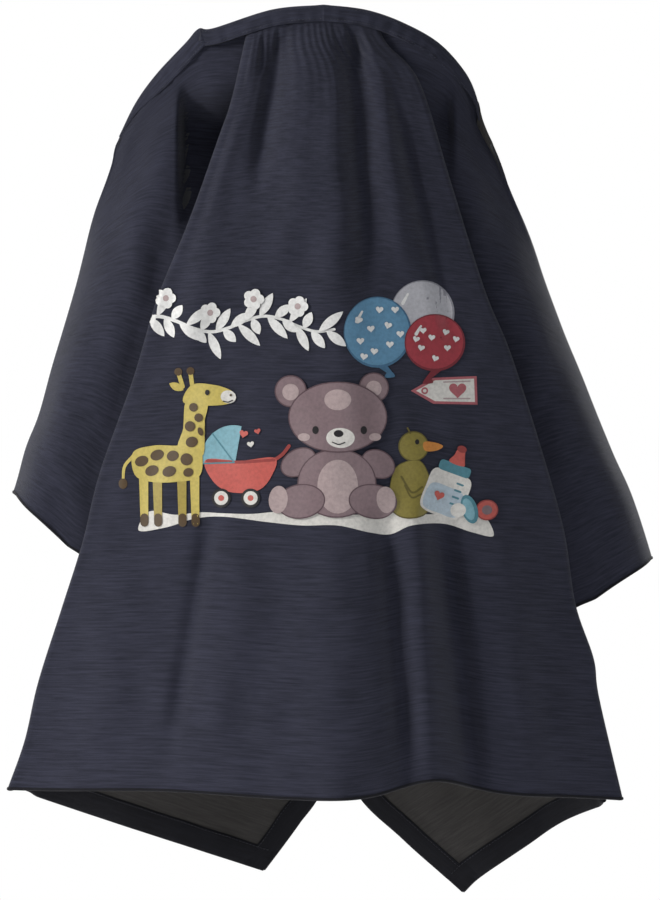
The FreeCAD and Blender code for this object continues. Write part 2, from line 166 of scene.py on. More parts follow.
band_low, band_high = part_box("neck_band")
front_low, front_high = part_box("front_shell")
arch_points = outline(
    "neck_band", (0.0, 0.0), (0.047, 0.26), (0.105, 0.48), (0.185, 0.715), (0.221, 0.822), (0.262, 0.826),
    (0.421, 0.965), (0.545, 0.999), (0.584, 0.999), (0.688, 0.962), (0.787, 0.866), (0.884, 0.714),
    (0.955, 0.50), (0.988, 0.31), (1.0, 0.12))
arch = curve_through(arch_points, 400)
left_fold = outline(
    "front_shell", (0.392, 0.985), (0.365, 0.891), (0.344, 0.842), (0.296, 0.737), (0.243, 0.635),
    (0.205, 0.536),
    (0.150, 0.415), (0.122, 0.327), (0.088, 0.243), (0.050, 0.150), (0.028, 0.076), (0.0, 0.014))
right_fold = outline(
    "front_shell", (0.600, 0.985), (0.617, 0.958), (0.669, 0.910), (0.7205, 0.782), (0.775, 0.647),
    (0.815, 0.571),
    (0.862, 0.458), (0.903, 0.344), (0.922, 0.250), (0.952, 0.180), (0.961, 0.130), (1.0, 0.0))
left_edge_x = side_line(left_fold)
right_edge_x = side_line(right_fold)
hem_left_z = front_low.z + 0.013
hem_right_z = front_low.z


def drop(z):
    """How far down the front a height is, from 0 at the crown to 1 at the hem."""
    return np.clip((band_high.z - z) / (band_high.z - front_low.z), 0, 1.2)


def front_middle_y(z):
    return band_low.y + 0.002 + (front_low.y - band_low.y) * drop(z)


def front_side_y(z):
    share = drop(z)
    return band_low.y + (front_high.y - band_low.y - 0.004) * (0.78 * share + 0.22 * share ** 2)


def band_y(x):
    middle = band_low.x + 0.548 * (band_high.x - band_low.x)
    reach = middle - band_low.x
    return band_low.y - 0.002 + (band_high.y - band_low.y) * ((x - middle) / reach) ** 2


# ---------------------------------------------------------------- folds


def crease(x, z, start, end, width, depth):
    """Height of one long soft fold between two places: a ridge, or a valley if depth is negative."""
    start, end = np.array(spot("front_shell", *start)), np.array(spot("front_shell", *end))
    along = end - start
    length = np.linalg.norm(along)
    along /= length
    t = ((x - start[0]) * along[0] + (z - start[1]) * along[1]) / length
    aside = (x - start[0]) * along[1] - (z - start[1]) * along[0]
    taper = smooth(t / 0.22) * smooth((1 - t) / 0.35)
    return depth * np.exp(-(aside / width) ** 2) * taper


def uneven(x, z, size, height):
    """Gentle unevenness: a few long waves with seeded directions."""
    waves = np.random.default_rng(31)
    total = np.zeros_like(x)
    for _ in range(7):
        angle = waves.uniform(-0.5, 0.5)
        pitch = size * waves.uniform(0.6, 1.6)
        phase = waves.uniform(0, 2 * math.pi)
        total += np.sin((x * math.cos(angle) + z * math.sin(angle)) * 2 * math.pi / pitch + phase)
    return total * height / 7


FRONT_FOLDS = (
    # start and end as (across, up) shares of the front panel, width and depth in metres
    ((0.454, 1.018), (0.395, 0.732), 0.0120, -0.0125),
    ((0.490, 1.018), (0.454, 0.645), 0.0220, 0.0090),
    ((0.529, 1.007), (0.532, 0.502), 0.0300, 0.0105),
    ((0.552, 1.007), (0.588, 0.623), 0.0150, -0.0165),
    ((0.597, 0.985), (0.653, 0.612), 0.0160, 0.0090),
    ((0.611, 0.941), (0.735, 0.546), 0.0100, -0.0085),
    ((0.378, 0.919), (0.271, 0.502), 0.0180, 0.0070),
    ((0.338, 0.392), (0.254, 0.019), 0.0110, -0.0080),
    ((0.383, 0.392), (0.316, -0.047), 0.0300, 0.0080),
    ((0.194, 0.348), (0.131, -0.047), 0.0300, 0.0060),
    ((0.608, 0.392), (0.656, -0.047), 0.0150, -0.0165),
    ((0.662, 0.414), (0.695, -0.047), 0.0160, 0.0110),
    ((0.698, 0.392), (0.771, -0.069), 0.0180, -0.0260),
    ((0.799, 0.392), (0.861, -0.069), 0.0280, 0.0110),
    ((0.532, 0.348), (0.529, -0.069), 0.0400, 0.0080),
)
GATHER_FOLDS = (
    ((0.367, 0.974), (0.338, 0.897), 0.0048, 0.0045),
    ((0.382, 0.974), (0.361, 0.908), 0.0045, -0.0050),
    ((0.400, 0.976), (0.386, 0.897), 0.0050, 0.0045),
    ((0.417, 0.978), (0.412, 0.914), 0.0042, -0.0042),
    ((0.538, 0.996), (0.555, 0.930), 0.0045, 0.0042),
    ((0.555, 0.994), (0.577, 0.921), 0.0045, -0.0048),
    ((0.574, 0.989), (0.601, 0.928), 0.0042, 0.0040),
)


def front_shape(u, v):
    """The front panel: u runs from side to side with both turned-under edges, v from the band to the hem."""
    s = np.clip((u - EDGE_SHARE) / (1 - 2 * EDGE_SHARE), 0, 1)
    top_x = left_fold[0][0] + (right_fold[0][0] - left_fold[0][0]) * s
    top_z = np.interp(top_x, arch[:, 0], arch[:, 1]) - 0.011
    hem_z = hem_left_z + (hem_right_z - hem_left_z) * s + 0.004 * np.sin(s * 9.0) * smooth(s * 3)
    lifted = 0.020 * np.exp(-((s - 0.70) / 0.085) ** 2)
    z = top_z + (hem_z + lifted - top_z) * v
    left, right = left_edge_x(z) + EDGE_ROLL, right_edge_x(z) - EDGE_ROLL
    x = left + (right - left) * s
    from_crest = np.where(s < CREST, (CREST - s) / CREST, (s - CREST) / (1 - CREST))
    round_front = 1 - (2 * s - 1) ** 2
    tent = 1 - np.sqrt(from_crest ** 2 + 0.004) ** 1.25
    bulge = round_front * 0.12 + tent * 0.88
    y = front_side_y(z) + (front_middle_y(z) - front_side_y(z)) * bulge
    height = sum(crease(x, z, *fold) for fold in FRONT_FOLDS + GATHER_FOLDS)
    height = height + uneven(x, z, 0.07, 0.0026)
    gather = np.exp(-(v / 0.055)) * np.sin(s * 2 * math.pi * 17 + 2.2 * np.sin(s * 11))
    height = (height + 0.0014 * gather) * smooth(np.minimum(s, 1 - s) / 0.06 + 0.15)
    y = y - height
    y = y + (band_y(x) + 0.0022 - y) * smooth(1 - v / 0.05) ** 2
    angle = np.clip(np.maximum(EDGE_SHARE - u, u - 1 + EDGE_SHARE) / EDGE_SHARE, 0, 1) * EDGE_TURN
    side = np.where(u < 0.5, -1.0, 1.0)
    x = x + side * EDGE_ROLL * np.sin(angle)
    y = y + EDGE_ROLL * (1 - np.cos(angle))
    return np.stack([x, y, z], axis=-1)


# Each side's own measures. The shoulder is the end of the neck band.
SIDES = {
    "left": {
        "sign": -1, "radius": 0.105, "shoulder": (band_low.x, band_low.z),
        "corner": spot("left_flap_shell", 0.0, 0.122), "fold_x": left_edge_x,
        "silhouette": [arch_points[4], arch_points[2], arch_points[0], *outline(
                "left_flap_shell", (0.411, 0.729), (0.354, 0.654), (0.307, 0.574), (0.253, 0.482),
                (0.171, 0.363),
                (0.106, 0.265), (0.053, 0.203), (0.0, 0.122), (-0.10, 0.0))],
        "hem_slope": -0.70, "top_inner": spot("front_shell", 0.437, 0.974),
        "pocket": (*spot("front_shell", 0.275, 0.688), 0.050),
    },
    "right": {
        "sign": 1, "radius": 0.095, "shoulder": (band_high.x, band_low.z + 0.018),
        "corner": spot("right_flap_shell", 1.0, 0.094), "fold_x": right_edge_x,
        "silhouette": [arch_points[10], arch_points[12], arch_points[14], *outline(
                "right_flap_shell", (0.419, 0.776), (0.483, 0.702), (0.554, 0.624), (0.621, 0.533),
                (0.759, 0.377),
                (0.848, 0.277), (0.925, 0.200), (1.0, 0.094), (1.08, -0.05))],
        "hem_slope": 0.58, "top_inner": spot("front_shell", 0.558, 0.974),
        "pocket": (*spot("front_shell", 0.729, 0.754), 0.026),
    },
}


def flap_shape(side):
    facts = SIDES[side]
    sign, radius = facts["sign"], facts["radius"]
    silhouette_x = side_line(facts["silhouette"])
    shoulder_x, shoulder_z = facts["shoulder"]
    inner_x, inner_z = facts["top_inner"]
    top = [np.array([inner_x, band_low.y + 0.0175, inner_z])]
    run = curve_through(arch_points if sign < 0 else arch_points[::-1], 101)
    for place in (30, 20, 12, 6, 0):
        x, z = run[place]
        step = run[place + 1] - run[max(place - 1, 0)]
        inward = np.array([step[1], -step[0]]) * -sign / np.linalg.norm(step)
        x, z = np.array([x, z]) + inward * (0.0080 if place > 10 else 0.0022)
        top.append([x, band_y(x) + 0.004, z])
    top.append([shoulder_x - sign * 0.004, band_y(shoulder_x) + 0.030, shoulder_z + 0.001])
    top.append([shoulder_x - sign * 0.020, band_y(shoulder_x) + 0.058, shoulder_z + 0.004])
    start_angle, end_angle = FLAP_SWEEP
    pocket_x, pocket_end, pocket_depth = facts["pocket"]
    pocket_top = band_low.z + 0.065

    def shape(u, v):
        top_edge = curve_through(top, u[0])
        angle = start_angle + u * (end_angle - start_angle)
        reach = np.sign(np.sin(angle)) * np.abs(np.sin(angle)) ** FLAP_SQUARENESS
        corner_x, corner_z = facts["corner"]
        low_x = corner_x - sign * radius + sign * radius * reach
        low_z = corner_z + facts["hem_slope"] * (low_x - corner_x)
        z = top_edge[None, :, 2] + (low_z - top_edge[None, :, 2]) * v
        middle_x = silhouette_x(z) - sign * radius
        middle_y = front_side_y(z) + FLAP_BEHIND + radius
        x = middle_x + sign * radius * reach
        y = middle_y - radius * np.sign(np.cos(angle)) * np.abs(np.cos(angle)) ** FLAP_SQUARENESS
        tucked = 1 - smooth((u - 0.02) / 0.16)
        x = x + (facts["fold_x"](z) - sign * FLAP_TUCK_IN - x) * tucked
        y = y + (front_side_y(z) + FLAP_TUCK_BACK - y) * tucked
        x = x + (top_edge[None, :, 0] - x[:1]) * (1 - smooth(v / 0.10))
        y = y + (top_edge[None, :, 1] - y[:1]) * (1 - smooth(v / 0.40))
        inboard = -sign * (x - pocket_x) / 0.012
        in_pocket = smooth((pocket_top - z) / 0.06) * smooth((z - pocket_end) / 0.15)
        y = y + pocket_depth * smooth(inboard) * in_pocket
        waves = uneven(x + 0.3 * sign, z * 0.5, 0.06, 0.0030) * smooth(v / 0.1) * smooth(u / 0.12)
        out = np.stack([sign * np.sin(angle), -np.cos(angle)], axis=-1)
        long_fold = 0.0045 * np.sin(u * 11 + z * 6) * smooth(v / 0.3) * smooth((1 - u) * 4)
        x = x + out[..., 0] * (waves + long_fold) * 0.4
        y = y + out[..., 1] * (waves + long_fold)
        return np.stack([x, y, z], axis=-1)
    return shape


BACKS = {
    "left": {
        "sign": -1, "side": outline(
            "left_back_shell", (0.548, 0.95), (0.40, 0.70), (0.240, 0.398), (0.12, 0.25), (0.006, 0.100)),
        "edge": outline(
            "left_back_shell", (0.975, 0.954), (0.985, 0.52), (0.99, 0.20), (0.99, 0.106),
            (0.91, 0.056), (0.801, 0.001)),
        "hem": outline(
            "left_back_shell", (0.006, 0.100), (0.324, 0.059), (0.56, 0.030), (0.801, 0.001)),
        "top": outline(
            "left_back_shell", (0.548, 0.95), (0.66, 0.992), (0.755, 0.998), (0.84, 0.972), (0.975, 0.954)),
    },
    "right": {
        "sign": 1, "side": outline(
            "right_back_shell", (0.335, 0.96), (0.55, 0.70), (0.823, 0.343), (0.90, 0.22), (0.996, 0.110)),
        "edge": outline(
            "right_back_shell", (0.004, 0.955), (0.006, 0.54), (0.010, 0.18), (0.035, 0.118),
            (0.215, 0.062), (0.435, 0.001)),
        "hem": outline(
            "right_back_shell", (0.996, 0.110), (0.817, 0.087), (0.663, 0.055),
            (0.500, 0.020), (0.435, 0.001)),
        "top": outline(
            "right_back_shell", (0.335, 0.96), (0.255, 0.99), (0.160, 0.995),
            (0.090, 0.968), (0.004, 0.955)),
    },
}


def back_shape(side):
    facts = BACKS[side]
    sign = facts["sign"]
    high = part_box(f"{side}_back_shell")[1]
    neck_y = band_high.y + 0.052

    def shape(u, v):
        flat = patch(facts["top"], facts["hem"], facts["side"], facts["edge"], u, v)
        x, z = flat[..., 0], flat[..., 1]
        share = drop(z)
        meet_front = smooth((share - 0.50) / 0.12)
        side_y = (band_high.y + 0.048) * (1 - meet_front) + (front_side_y(z) + BACK_TUCK_BACK) * meet_front
        x = x - sign * BACK_TUCK_IN * meet_front * (1 - smooth(u / 0.08))
        middle_y = neck_y + (high.y - neck_y - 0.006) * np.minimum(share, 1.1) / 1.1
        y = side_y + (middle_y - side_y) * (1 - (1 - u) ** 2)
        under_band = band_y(x) + UNDER_BAND
        under_band = under_band + (neck_y + 0.002 - under_band) * smooth(u / 0.4)
        y = y + (under_band - y) * smooth(1 - v / 0.07)
        fullness = smooth((share - 0.05) / 0.9) * smooth(u * 6)
        height = 0.010 * np.sin(u * 7.5 + 0.8 * sign + z * 1.5) * fullness
        height = height + uneven(x * 1.3, z, 0.08, 0.0030)
        y = y + height * 0.8
        return np.stack([x, y, z], axis=-1)
    return shape


# ---------------------------------------------------------------- cloth surfaces and meshes


class Cloth:
    """A hanging panel as a dense grid, sampled anywhere at an offset along its outward normal."""

    def __init__(self, shape, outward, across=150, down=230):
        u, v = np.meshgrid(np.linspace(0, 1, across), np.linspace(0, 1, down))
        self.points = shape(u, v)
        normals = np.cross(np.gradient(self.points, axis=1), np.gradient(self.points, axis=0))
        normals /= np.linalg.norm(normals, axis=-1, keepdims=True) + 1e-12
        middle = normals[down // 2, across // 2]
        self.normals = normals * (1 if np.dot(middle, outward) > 0 else -1)
        self.width = np.linalg.norm(np.diff(self.points, axis=1), axis=-1).sum(axis=1)
        self.height = np.linalg.norm(np.diff(self.points, axis=0), axis=-1).sum(axis=0)

    def at(self, u, v, offset=0.0):
        down, across = self.points.shape[:2]
        fu, fv = np.clip(u, 0, 1) * (across - 1), np.clip(v, 0, 1) * (down - 1)
        iu, iv = np.minimum(fu.astype(int), across - 2), np.minimum(fv.astype(int), down - 2)
        su, sv = (fu - iu)[..., None], (fv - iv)[..., None]

        def mix(grid):
            upper = grid[iv, iu] * (1 - su) + grid[iv, iu + 1] * su
            lower = grid[iv + 1, iu] * (1 - su) + grid[iv + 1, iu + 1] * su
            return upper * (1 - sv) + lower * sv
        return mix(self.points) + mix(self.normals) * np.asarray(offset)[..., None]

    def depth_u(self, v, depth):
        """The share of u that is this many metres wide at v."""
        return depth / np.interp(v, np.linspace(0, 1, len(self.width)), self.width)

    def depth_v(self, u, depth):
        return depth / np.interp(u, np.linspace(0, 1, len(self.height)), self.height)


def make_object(name, vertices, faces, uvs=None):
    mesh = bpy.data.meshes.new(name)
    mesh.from_pydata([tuple(p) for p in vertices], [], faces)
    mesh.polygons.foreach_set("use_smooth", [True] * len(mesh.polygons))
    if uvs is not None:
        layer = mesh.uv_layers.new(name="cloth")
        loops = np.zeros(len(mesh.loops), int)
        mesh.loops.foreach_get("vertex_index", loops)
        layer.data.foreach_set("uv", np.asarray(uvs, float)[loops].ravel())
    mesh.update()
    thing = bpy.data.objects.new(name, mesh)
    bpy.context.scene.collection.objects.link(thing)
    return thing


def grid_parts(points, start=0, uv_origin=(0, 0)):
    """Vertices, faces and metre UVs of a grid of points."""
    down, across = points.shape[:2]
    index = np.arange(down * across).reshape(down, across) + start
    faces = np.stack([index[:-1, :-1], index[:-1, 1:], index[1:, 1:], index[1:, :-1]], axis=-1)
    steps_u = np.linalg.norm(np.diff(points, axis=1), axis=-1).mean(axis=0)
    steps_v = np.linalg.norm(np.diff(points, axis=0), axis=-1).mean(axis=1)
    us = np.concatenate([[0], np.cumsum(steps_u)]) + uv_origin[0]
    vs = -np.concatenate([[0], np.cumsum(steps_v)]) + uv_origin[1]
    uv = np.stack(np.meshgrid(us, vs), axis=-1)
    return points.reshape(-1, 3), [tuple(int(i) for i in f) for f in faces.reshape(-1, 4)], uv.reshape(-1, 2)


def grid_object(name, *grids):
    vertices, faces, uvs = [], [], []
    for number, grid in enumerate(grids):
        more, more_faces, more_uvs = grid_parts(grid, sum(map(len, vertices)), (0.37 * number, 0))
        vertices.append(more)
        faces += more_faces
        uvs.append(more_uvs)
    return make_object(name, np.concatenate(vertices), faces, np.concatenate(uvs))


def layer(name, cloth, offset, inset, across, down):
    """One ply of a panel, at an offset from its outer surface and inset from its edges."""
    v_inset = inset / cloth.height.mean()
    u_inset = inset / cloth.width.mean()
    across_shares = np.linspace(u_inset, 1 - u_inset, across)
    down_shares = np.linspace(v_inset * 0.5, 1 - v_inset, down)
    u, v = np.meshgrid(across_shares, down_shares)
    return grid_object(name, cloth.at(u, v, np.broadcast_to(offset, u.shape)))


# How a turned hem goes round an edge: (depth inwards from the edge, offset from the outer surface)
HEM_TURN_ROWS = 7            # the first rows are in metres, the others in shares of the hem's width
HEM_PROFILE = ((0.0018, 0.0009), (0.0, 0.0011), (-0.0012, 0.0006), (-0.0018, -0.0016), (-0.0013, -0.0038),
               (0.0, HEM_OFFSET), (0.006, HEM_OFFSET - 0.0002), (0.5, HEM_OFFSET - 0.0003),
               (0.94, HEM_OFFSET - 0.0002), (1.0, HEM_OFFSET + 0.0006))


def hem_strip(cloth, edge, width, count=150):
    """A strip of turned cloth round the lower edge of a panel ("low") or the one at u = 1 ("last")."""
    along, end = np.linspace(0, 1, count), np.ones(count)
    rows = []
    for number, (depth, offset) in enumerate(HEM_PROFILE):
        turning = number < HEM_TURN_ROWS
        inside = max(depth, 0) if turning else depth * width
        beyond = max(-depth, 0) if turning else 0
        if edge == "low":
            base = cloth.at(along, 1 - cloth.depth_v(along, inside), np.full(count, offset))
            outer = cloth.at(along, end)
            inner = cloth.at(along, 1 - cloth.depth_v(along, 0.004))
        else:
            base = cloth.at(1 - cloth.depth_u(along, inside), along, np.full(count, offset))
            outer = cloth.at(end, along)
            inner = cloth.at(1 - cloth.depth_u(along, 0.004), along)
        direction = outer - inner
        direction /= np.linalg.norm(direction, axis=-1, keepdims=True)
        rows.append(base + direction * beyond)
    return np.stack(rows)


# ---------------------------------------------------------------- materials


class Nodes:
    """A short way to build a material's node tree."""

    def __init__(self, name, roughness=0.85, **inputs):
        self.material = bpy.data.materials.new(name)
        self.material.use_nodes = True
        self.tree = self.material.node_tree
        self.shader = self.tree.nodes["Principled BSDF"]
        self.shader.inputs["Roughness"].default_value = roughness
        for label, value in inputs.items():
            self.shader.inputs[label.replace("_", " ")].default_value = value

    def add(self, kind, inputs=(), **settings):
        node = self.tree.nodes.new(kind)
        for key, value in settings.items():
            setattr(node, key, value)
        for key, value in dict(inputs).items():
            if isinstance(value, bpy.types.NodeSocket):
                self.tree.links.new(value, node.inputs[key])
            else:
                node.inputs[key].default_value = value
        return node

    def link(self, socket, label):
        self.tree.links.new(socket, self.shader.inputs[label])

    def scaled(self, vector, scale):
        return self.add("ShaderNodeMapping", {"Vector": vector, "Scale": scale}).outputs["Vector"]

    def noise(self, vector, scale, detail=3.0, rough=0.6):
        settings = {"Vector": vector, "Scale": scale, "Detail": detail, "Roughness": rough}
        return self.add("ShaderNodeTexNoise", settings).outputs["Fac"]

    def wave(self, vector, scale, direction, distortion=1.5):
        settings = {"Vector": vector, "Scale": scale, "Distortion": distortion, "Detail": 1.0}
        return self.add("ShaderNodeTexWave", settings, bands_direction=direction).outputs["Fac"]

    def mix(self, share, first, second):
        node = self.add("ShaderNodeMix", {"Factor": share}, data_type="RGBA")
        for index, value in ((6, first), (7, second)):
            if isinstance(value, bpy.types.NodeSocket):
                self.tree.links.new(value, node.inputs[index])
            else:
                node.inputs[index].default_value = (*value, 1)
        return node.outputs[2]

    def math(self, operation, first, second):
        return self.add("ShaderNodeMath", {0: first, 1: second}, operation=operation).outputs[0]

    def ramp(self, value, low, high):
        settings = {"Value": value, "From Min": low, "From Max": high}
        return self.add("ShaderNodeMapRange", settings).outputs["Result"]

    def bump(self, height, distance, strength=1.0, under=None):
        settings = {"Height": height, "Distance": distance, "Strength": strength}
        if under is not None:
            settings["Normal"] = under
        return self.add("ShaderNodeBump", settings).outputs["Normal"]


def woven_material(name, dark, light, slub=0.6, sheen=0.15, pitch=0.0011):
    """Plain weave with uneven weft threads, a painted highlight on the thread crowns, soft mottling and a
    light dusty sheen.
    """
    nodes = Nodes(name, 0.88, Sheen_Weight=sheen, Sheen_Roughness=0.45, Specular_IOR_Level=0.25)
    flat = nodes.add("ShaderNodeUVMap", uv_map="cloth").outputs["UV"]
    weft = nodes.wave(flat, 0.5 / pitch, "Y", 2.0)
    warp = nodes.wave(flat, 0.5 / pitch, "X", 2.0)
    threads = nodes.math("MULTIPLY", weft, warp)
    slubs = nodes.noise(nodes.scaled(flat, (26, 420, 1)), 1.0, 4.0, 0.7)
    fine_slubs = nodes.noise(nodes.scaled(flat, (90, 1100, 1)), 1.0, 2.0, 0.6)
    mottle = nodes.noise(flat, 14.0, 4.0, 0.62)
    streaks = nodes.ramp(slubs, 0.36, 0.64)
    cloudy = nodes.math("MULTIPLY", mottle, 0.45)
    tone = nodes.math("ADD", nodes.math("MULTIPLY", streaks, slub), cloudy)
    tone = nodes.math("ADD", tone, nodes.math("MULTIPLY", fine_slubs, 0.30))
    tone = nodes.ramp(tone, 0.28, 0.98)
    colour = nodes.mix(tone, dark, light)
    # Painted highlight: the crowns of the threads are mixed towards a lighter copy of the cloth colour.
    thread_crown_highlight = tuple(min(1, c * 1.35) for c in light)
    colour = nodes.mix(nodes.math("MULTIPLY", threads, 0.45), colour, thread_crown_highlight)
    nodes.link(colour, "Base Color")
    rough = nodes.ramp(tone, -1.2, 3.0)
    nodes.link(nodes.math("ADD", nodes.math("MULTIPLY", rough, 0.25), 0.76), "Roughness")
    thread_height = 0.0003
    first = nodes.bump(slubs, thread_height * 1.6, 0.8)
    second = nodes.bump(threads, thread_height, 0.7, first)
    nodes.link(second, "Normal")
    return nodes.material


def film_material(name, colour):
    """Transfer film over cloth: fine cracks along the weave and slightly uneven ink."""
    nodes = Nodes(name, FILM_GLOSS, Coat_Weight=0.08, Coat_Roughness=0.35)
    place = nodes.add("ShaderNodeTexCoord").outputs["Object"]
    ink = nodes.noise(place, 260.0, 3.0, 0.6)
    weave = nodes.noise(nodes.scaled(place, (300, 300, 1500)), 1.0, 2.0, 0.5)
    deeper = tuple(c * 0.80 for c in colour)
    nodes.link(nodes.mix(nodes.ramp(ink, 0.38, 0.72), colour, deeper), "Base Color")
    nodes.link(nodes.math("ADD", nodes.math("MULTIPLY", ink, 0.2), FILM_GLOSS - 0.1), "Roughness")
    nodes.link(nodes.bump(weave, 0.00018, 0.7), "Normal")
    return nodes.material


def vinyl_material():
    nodes = Nodes("lead_vinyl", 0.5)
    place = nodes.add("ShaderNodeTexCoord").outputs["Object"]
    grain = nodes.noise(place, 420.0, 4.0, 0.6)
    nodes.link(nodes.mix(grain, (0.035, 0.036, 0.040), (0.070, 0.071, 0.078)), "Base Color")
    nodes.link(nodes.bump(grain, 0.00015, 0.6), "Normal")
    return nodes.material


def bristle_material(name, dark, light, scale):
    nodes = Nodes(name, 0.9, Sheen_Weight=0.4, Sheen_Roughness=0.5)
    place = nodes.add("ShaderNodeTexCoord").outputs["Object"]
    cells = nodes.add("ShaderNodeTexVoronoi", {"Vector": place, "Scale": scale}).outputs["Distance"]
    nodes.link(nodes.mix(nodes.ramp(cells, 0.0, 0.6), light, dark), "Base Color")
    nodes.link(nodes.bump(cells, 0.0006, 0.9), "Normal")
    return nodes.material


def floor_material():
    nodes = Nodes("studio_floor", 0.9, Specular_IOR_Level=0.1, Emission_Strength=0.30)
    nodes.shader.inputs["Emission Color"].default_value = (1, 1, 1, 1)
    place = nodes.add("ShaderNodeTexCoord").outputs["Object"]
    grain = nodes.noise(place, 3.0, 2.0, 0.5)
    nodes.link(nodes.mix(grain, (0.84, 0.84, 0.84), (0.90, 0.90, 0.90)), "Base Color")
    return nodes.material


NAVY = woven_material("navy_cloth", (0.0105, 0.0118, 0.0215), (0.036, 0.038, 0.062), sheen=0.10)
LINING = woven_material("lining_cloth", (0.026, 0.0245, 0.024), (0.066, 0.062, 0.060), sheen=0.10, slub=0.4,
                        pitch=0.0008)
# The turned hem is the shell's navy cloth. Its colours are darkened to near black as painted shade for the
# inside of the fold.
SHADED_HEM_NAVY = woven_material("hem_cloth", (0.004, 0.004, 0.006), (0.012, 0.0125, 0.018), slub=0.4, sheen=0.06)
TAPE = woven_material("tape_cloth", (0.010, 0.011, 0.016), (0.040, 0.042, 0.056), slub=0.3, pitch=0.0008)
THREAD = woven_material("stitch_thread", (0.012, 0.013, 0.022), (0.055, 0.058, 0.085), slub=0.2, sheen=0.3)
VINYL = vinyl_material()
HOOKS = bristle_material("hook_pile", (0.010, 0.011, 0.015), (0.050, 0.052, 0.065), 1500.0)
LOOPS = bristle_material("loop_pile", (0.014, 0.015, 0.022), (0.060, 0.062, 0.078), 900.0)


# ---------------------------------------------------------------- cloth panels


def dress(thing, material, slot):
    thing.data.materials.append(material)
    return thing


def stitches(name, points, normals):
    """A row of short thread stitches along a line of points, each a small closed capsule."""
    runs = np.concatenate([[0], np.cumsum(np.linalg.norm(np.diff(points, axis=0), axis=1))])
    places = np.arange(STITCH_PITCH, runs[-1] - STITCH_PITCH, STITCH_PITCH)

    def sample(values, place):
        return np.stack([np.interp(place, runs, values[:, axis]) for axis in range(3)], axis=-1)
    vertices, faces = [], []
    for place in places:
        start, end = sample(points, place + np.array([-0.5, 0.5]) * STITCH_LENGTH)
        normal = sample(normals, np.array([place]))[0]
        along = (end - start) / np.linalg.norm(end - start)
        aside = np.cross(along, normal)
        base = len(vertices)
        vertices.append(start - normal * THREAD_RADIUS)
        for share in (0.22, 0.78):
            middle = start + (end - start) * share + normal * THREAD_RADIUS * 0.6
            for turn in range(6):
                angle = turn * math.pi / 3
                out = aside * math.cos(angle) + normal * math.sin(angle)
                vertices.append(middle + out * THREAD_RADIUS)
        vertices.append(end - normal * THREAD_RADIUS)
        for turn in range(6):
            after = (turn + 1) % 6
            faces.append((base, base + 1 + after, base + 1 + turn))
            faces.append((base + 1 + turn, base + 1 + after, base + 7 + after, base + 7 + turn))
            faces.append((base + 13, base + 7 + turn, base + 7 + after))
    flat = [(p[0], p[2]) for p in vertices]
    return dress(make_object(name, vertices, faces, flat), THREAD, "tape")


def edge_stitches(name, cloth, edge, depth):
    along = np.linspace(0.02, 0.98, 300)
    if edge == "low":
        u, v = along, 1 - cloth.depth_v(along, depth)
    else:
        u, v = 1 - cloth.depth_u(along, depth), along
    offset = HEM_OFFSET - STITCH_LIFT
    points = cloth.at(u, v, np.full(len(along), offset))
    inner = cloth.at(u, v, np.full(len(along), offset - 0.001))
    return stitches(name, points, (inner - points) / 0.001)


def panel(prefix, cloth, edges, ride, density=(130, 230)):
    """Shell, core, lining and turned hem of one panel, all following the same folds."""
    across, down = density
    plies = (
        (f"{prefix}_cloth", "shell", 0.0, 0.0, NAVY, "shell_cloth", across, down),
        (f"{prefix}_vinyl", "core", CORE_OFFSET, 0.004, VINYL, "lead_vinyl", across // 2, down // 2),
        (f"{prefix}_inside", "lining", LINING_OFFSET, 0.003, LINING, "lining_cloth", across // 2 + 20,
         down // 2),
    )
    pieces = []
    for name, part, offset, inset, material, slot, columns, rows in plies:
        piece = dress(layer(name, cloth, offset, inset, columns, rows), material, slot)
        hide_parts(f"{prefix}_{part}")
        pieces.append(piece)
    strips = [hem_strip(cloth, edge, width) for edge, width in edges]
    # The edging takes the navy cloth darkened into painted shade.
    hem = dress(grid_object(f"{prefix}_edging", *strips), SHADED_HEM_NAVY, "hem_cloth")
    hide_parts(f"{prefix}_hem")
    pieces.append(hem)
    for number, (edge, width) in enumerate(edges):
        pieces.append(edge_stitches(f"{prefix}_stitches_{number}", cloth, edge, width - STITCH_INSET))
    for piece in pieces:
        ride(piece)


def on_body(body):
    return lambda piece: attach(piece, body)


def across_joint():
    return lambda piece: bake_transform(piece)


def hinge(name):
    joint = next(joint for joint in frame["joints"] if joint["name"] == name)
    return Vector(joint["pos_m"]), Vector(joint["axis"])


def make_panels():
    front = Cloth(front_shape, (0, -1, 0), 190, 280)
    panel("front", front, [("low", HEM_WIDTH)], on_body("front"), (190, 280))
    for side, facts in SIDES.items():
        sign = facts["sign"]
        cloth = Cloth(flap_shape(side), (sign * 0.8, -0.6, 0))
        pivot, _ = hinge(f"{side}_flap_lift")
        ride = across_joint()
        panel(f"{side}_flap", cloth, FLAP_HEM, ride, (110, 200))
    for side in BACKS:
        cloth = Cloth(back_shape(side), (0, 1, 0))
        pivot, axis = hinge(f"{side}_back_open")
        ride = across_joint()
        panel(f"{side}_back", cloth, BACK_HEM, ride)


# ---------------------------------------------------------------- neck band

# Across the band: (share of its width in from the silhouette, offset to the back)
BAND_OUTER = ((1.0, 0.0012), (1.01, 0.0), (0.94, -0.0010), (0.84, -0.0008), (0.6, -0.0016), (0.3, -0.0016),
              (0.14, -0.0010), (0.03, 0.0002), (0.0, 0.0016), (0.02, 0.0034))
BAND_INNER = ((0.02, 0.0030), (0.10, 0.0056), (0.35, 0.0072), (0.7, 0.0072), (0.97, 0.0066), (1.03, 0.0052))


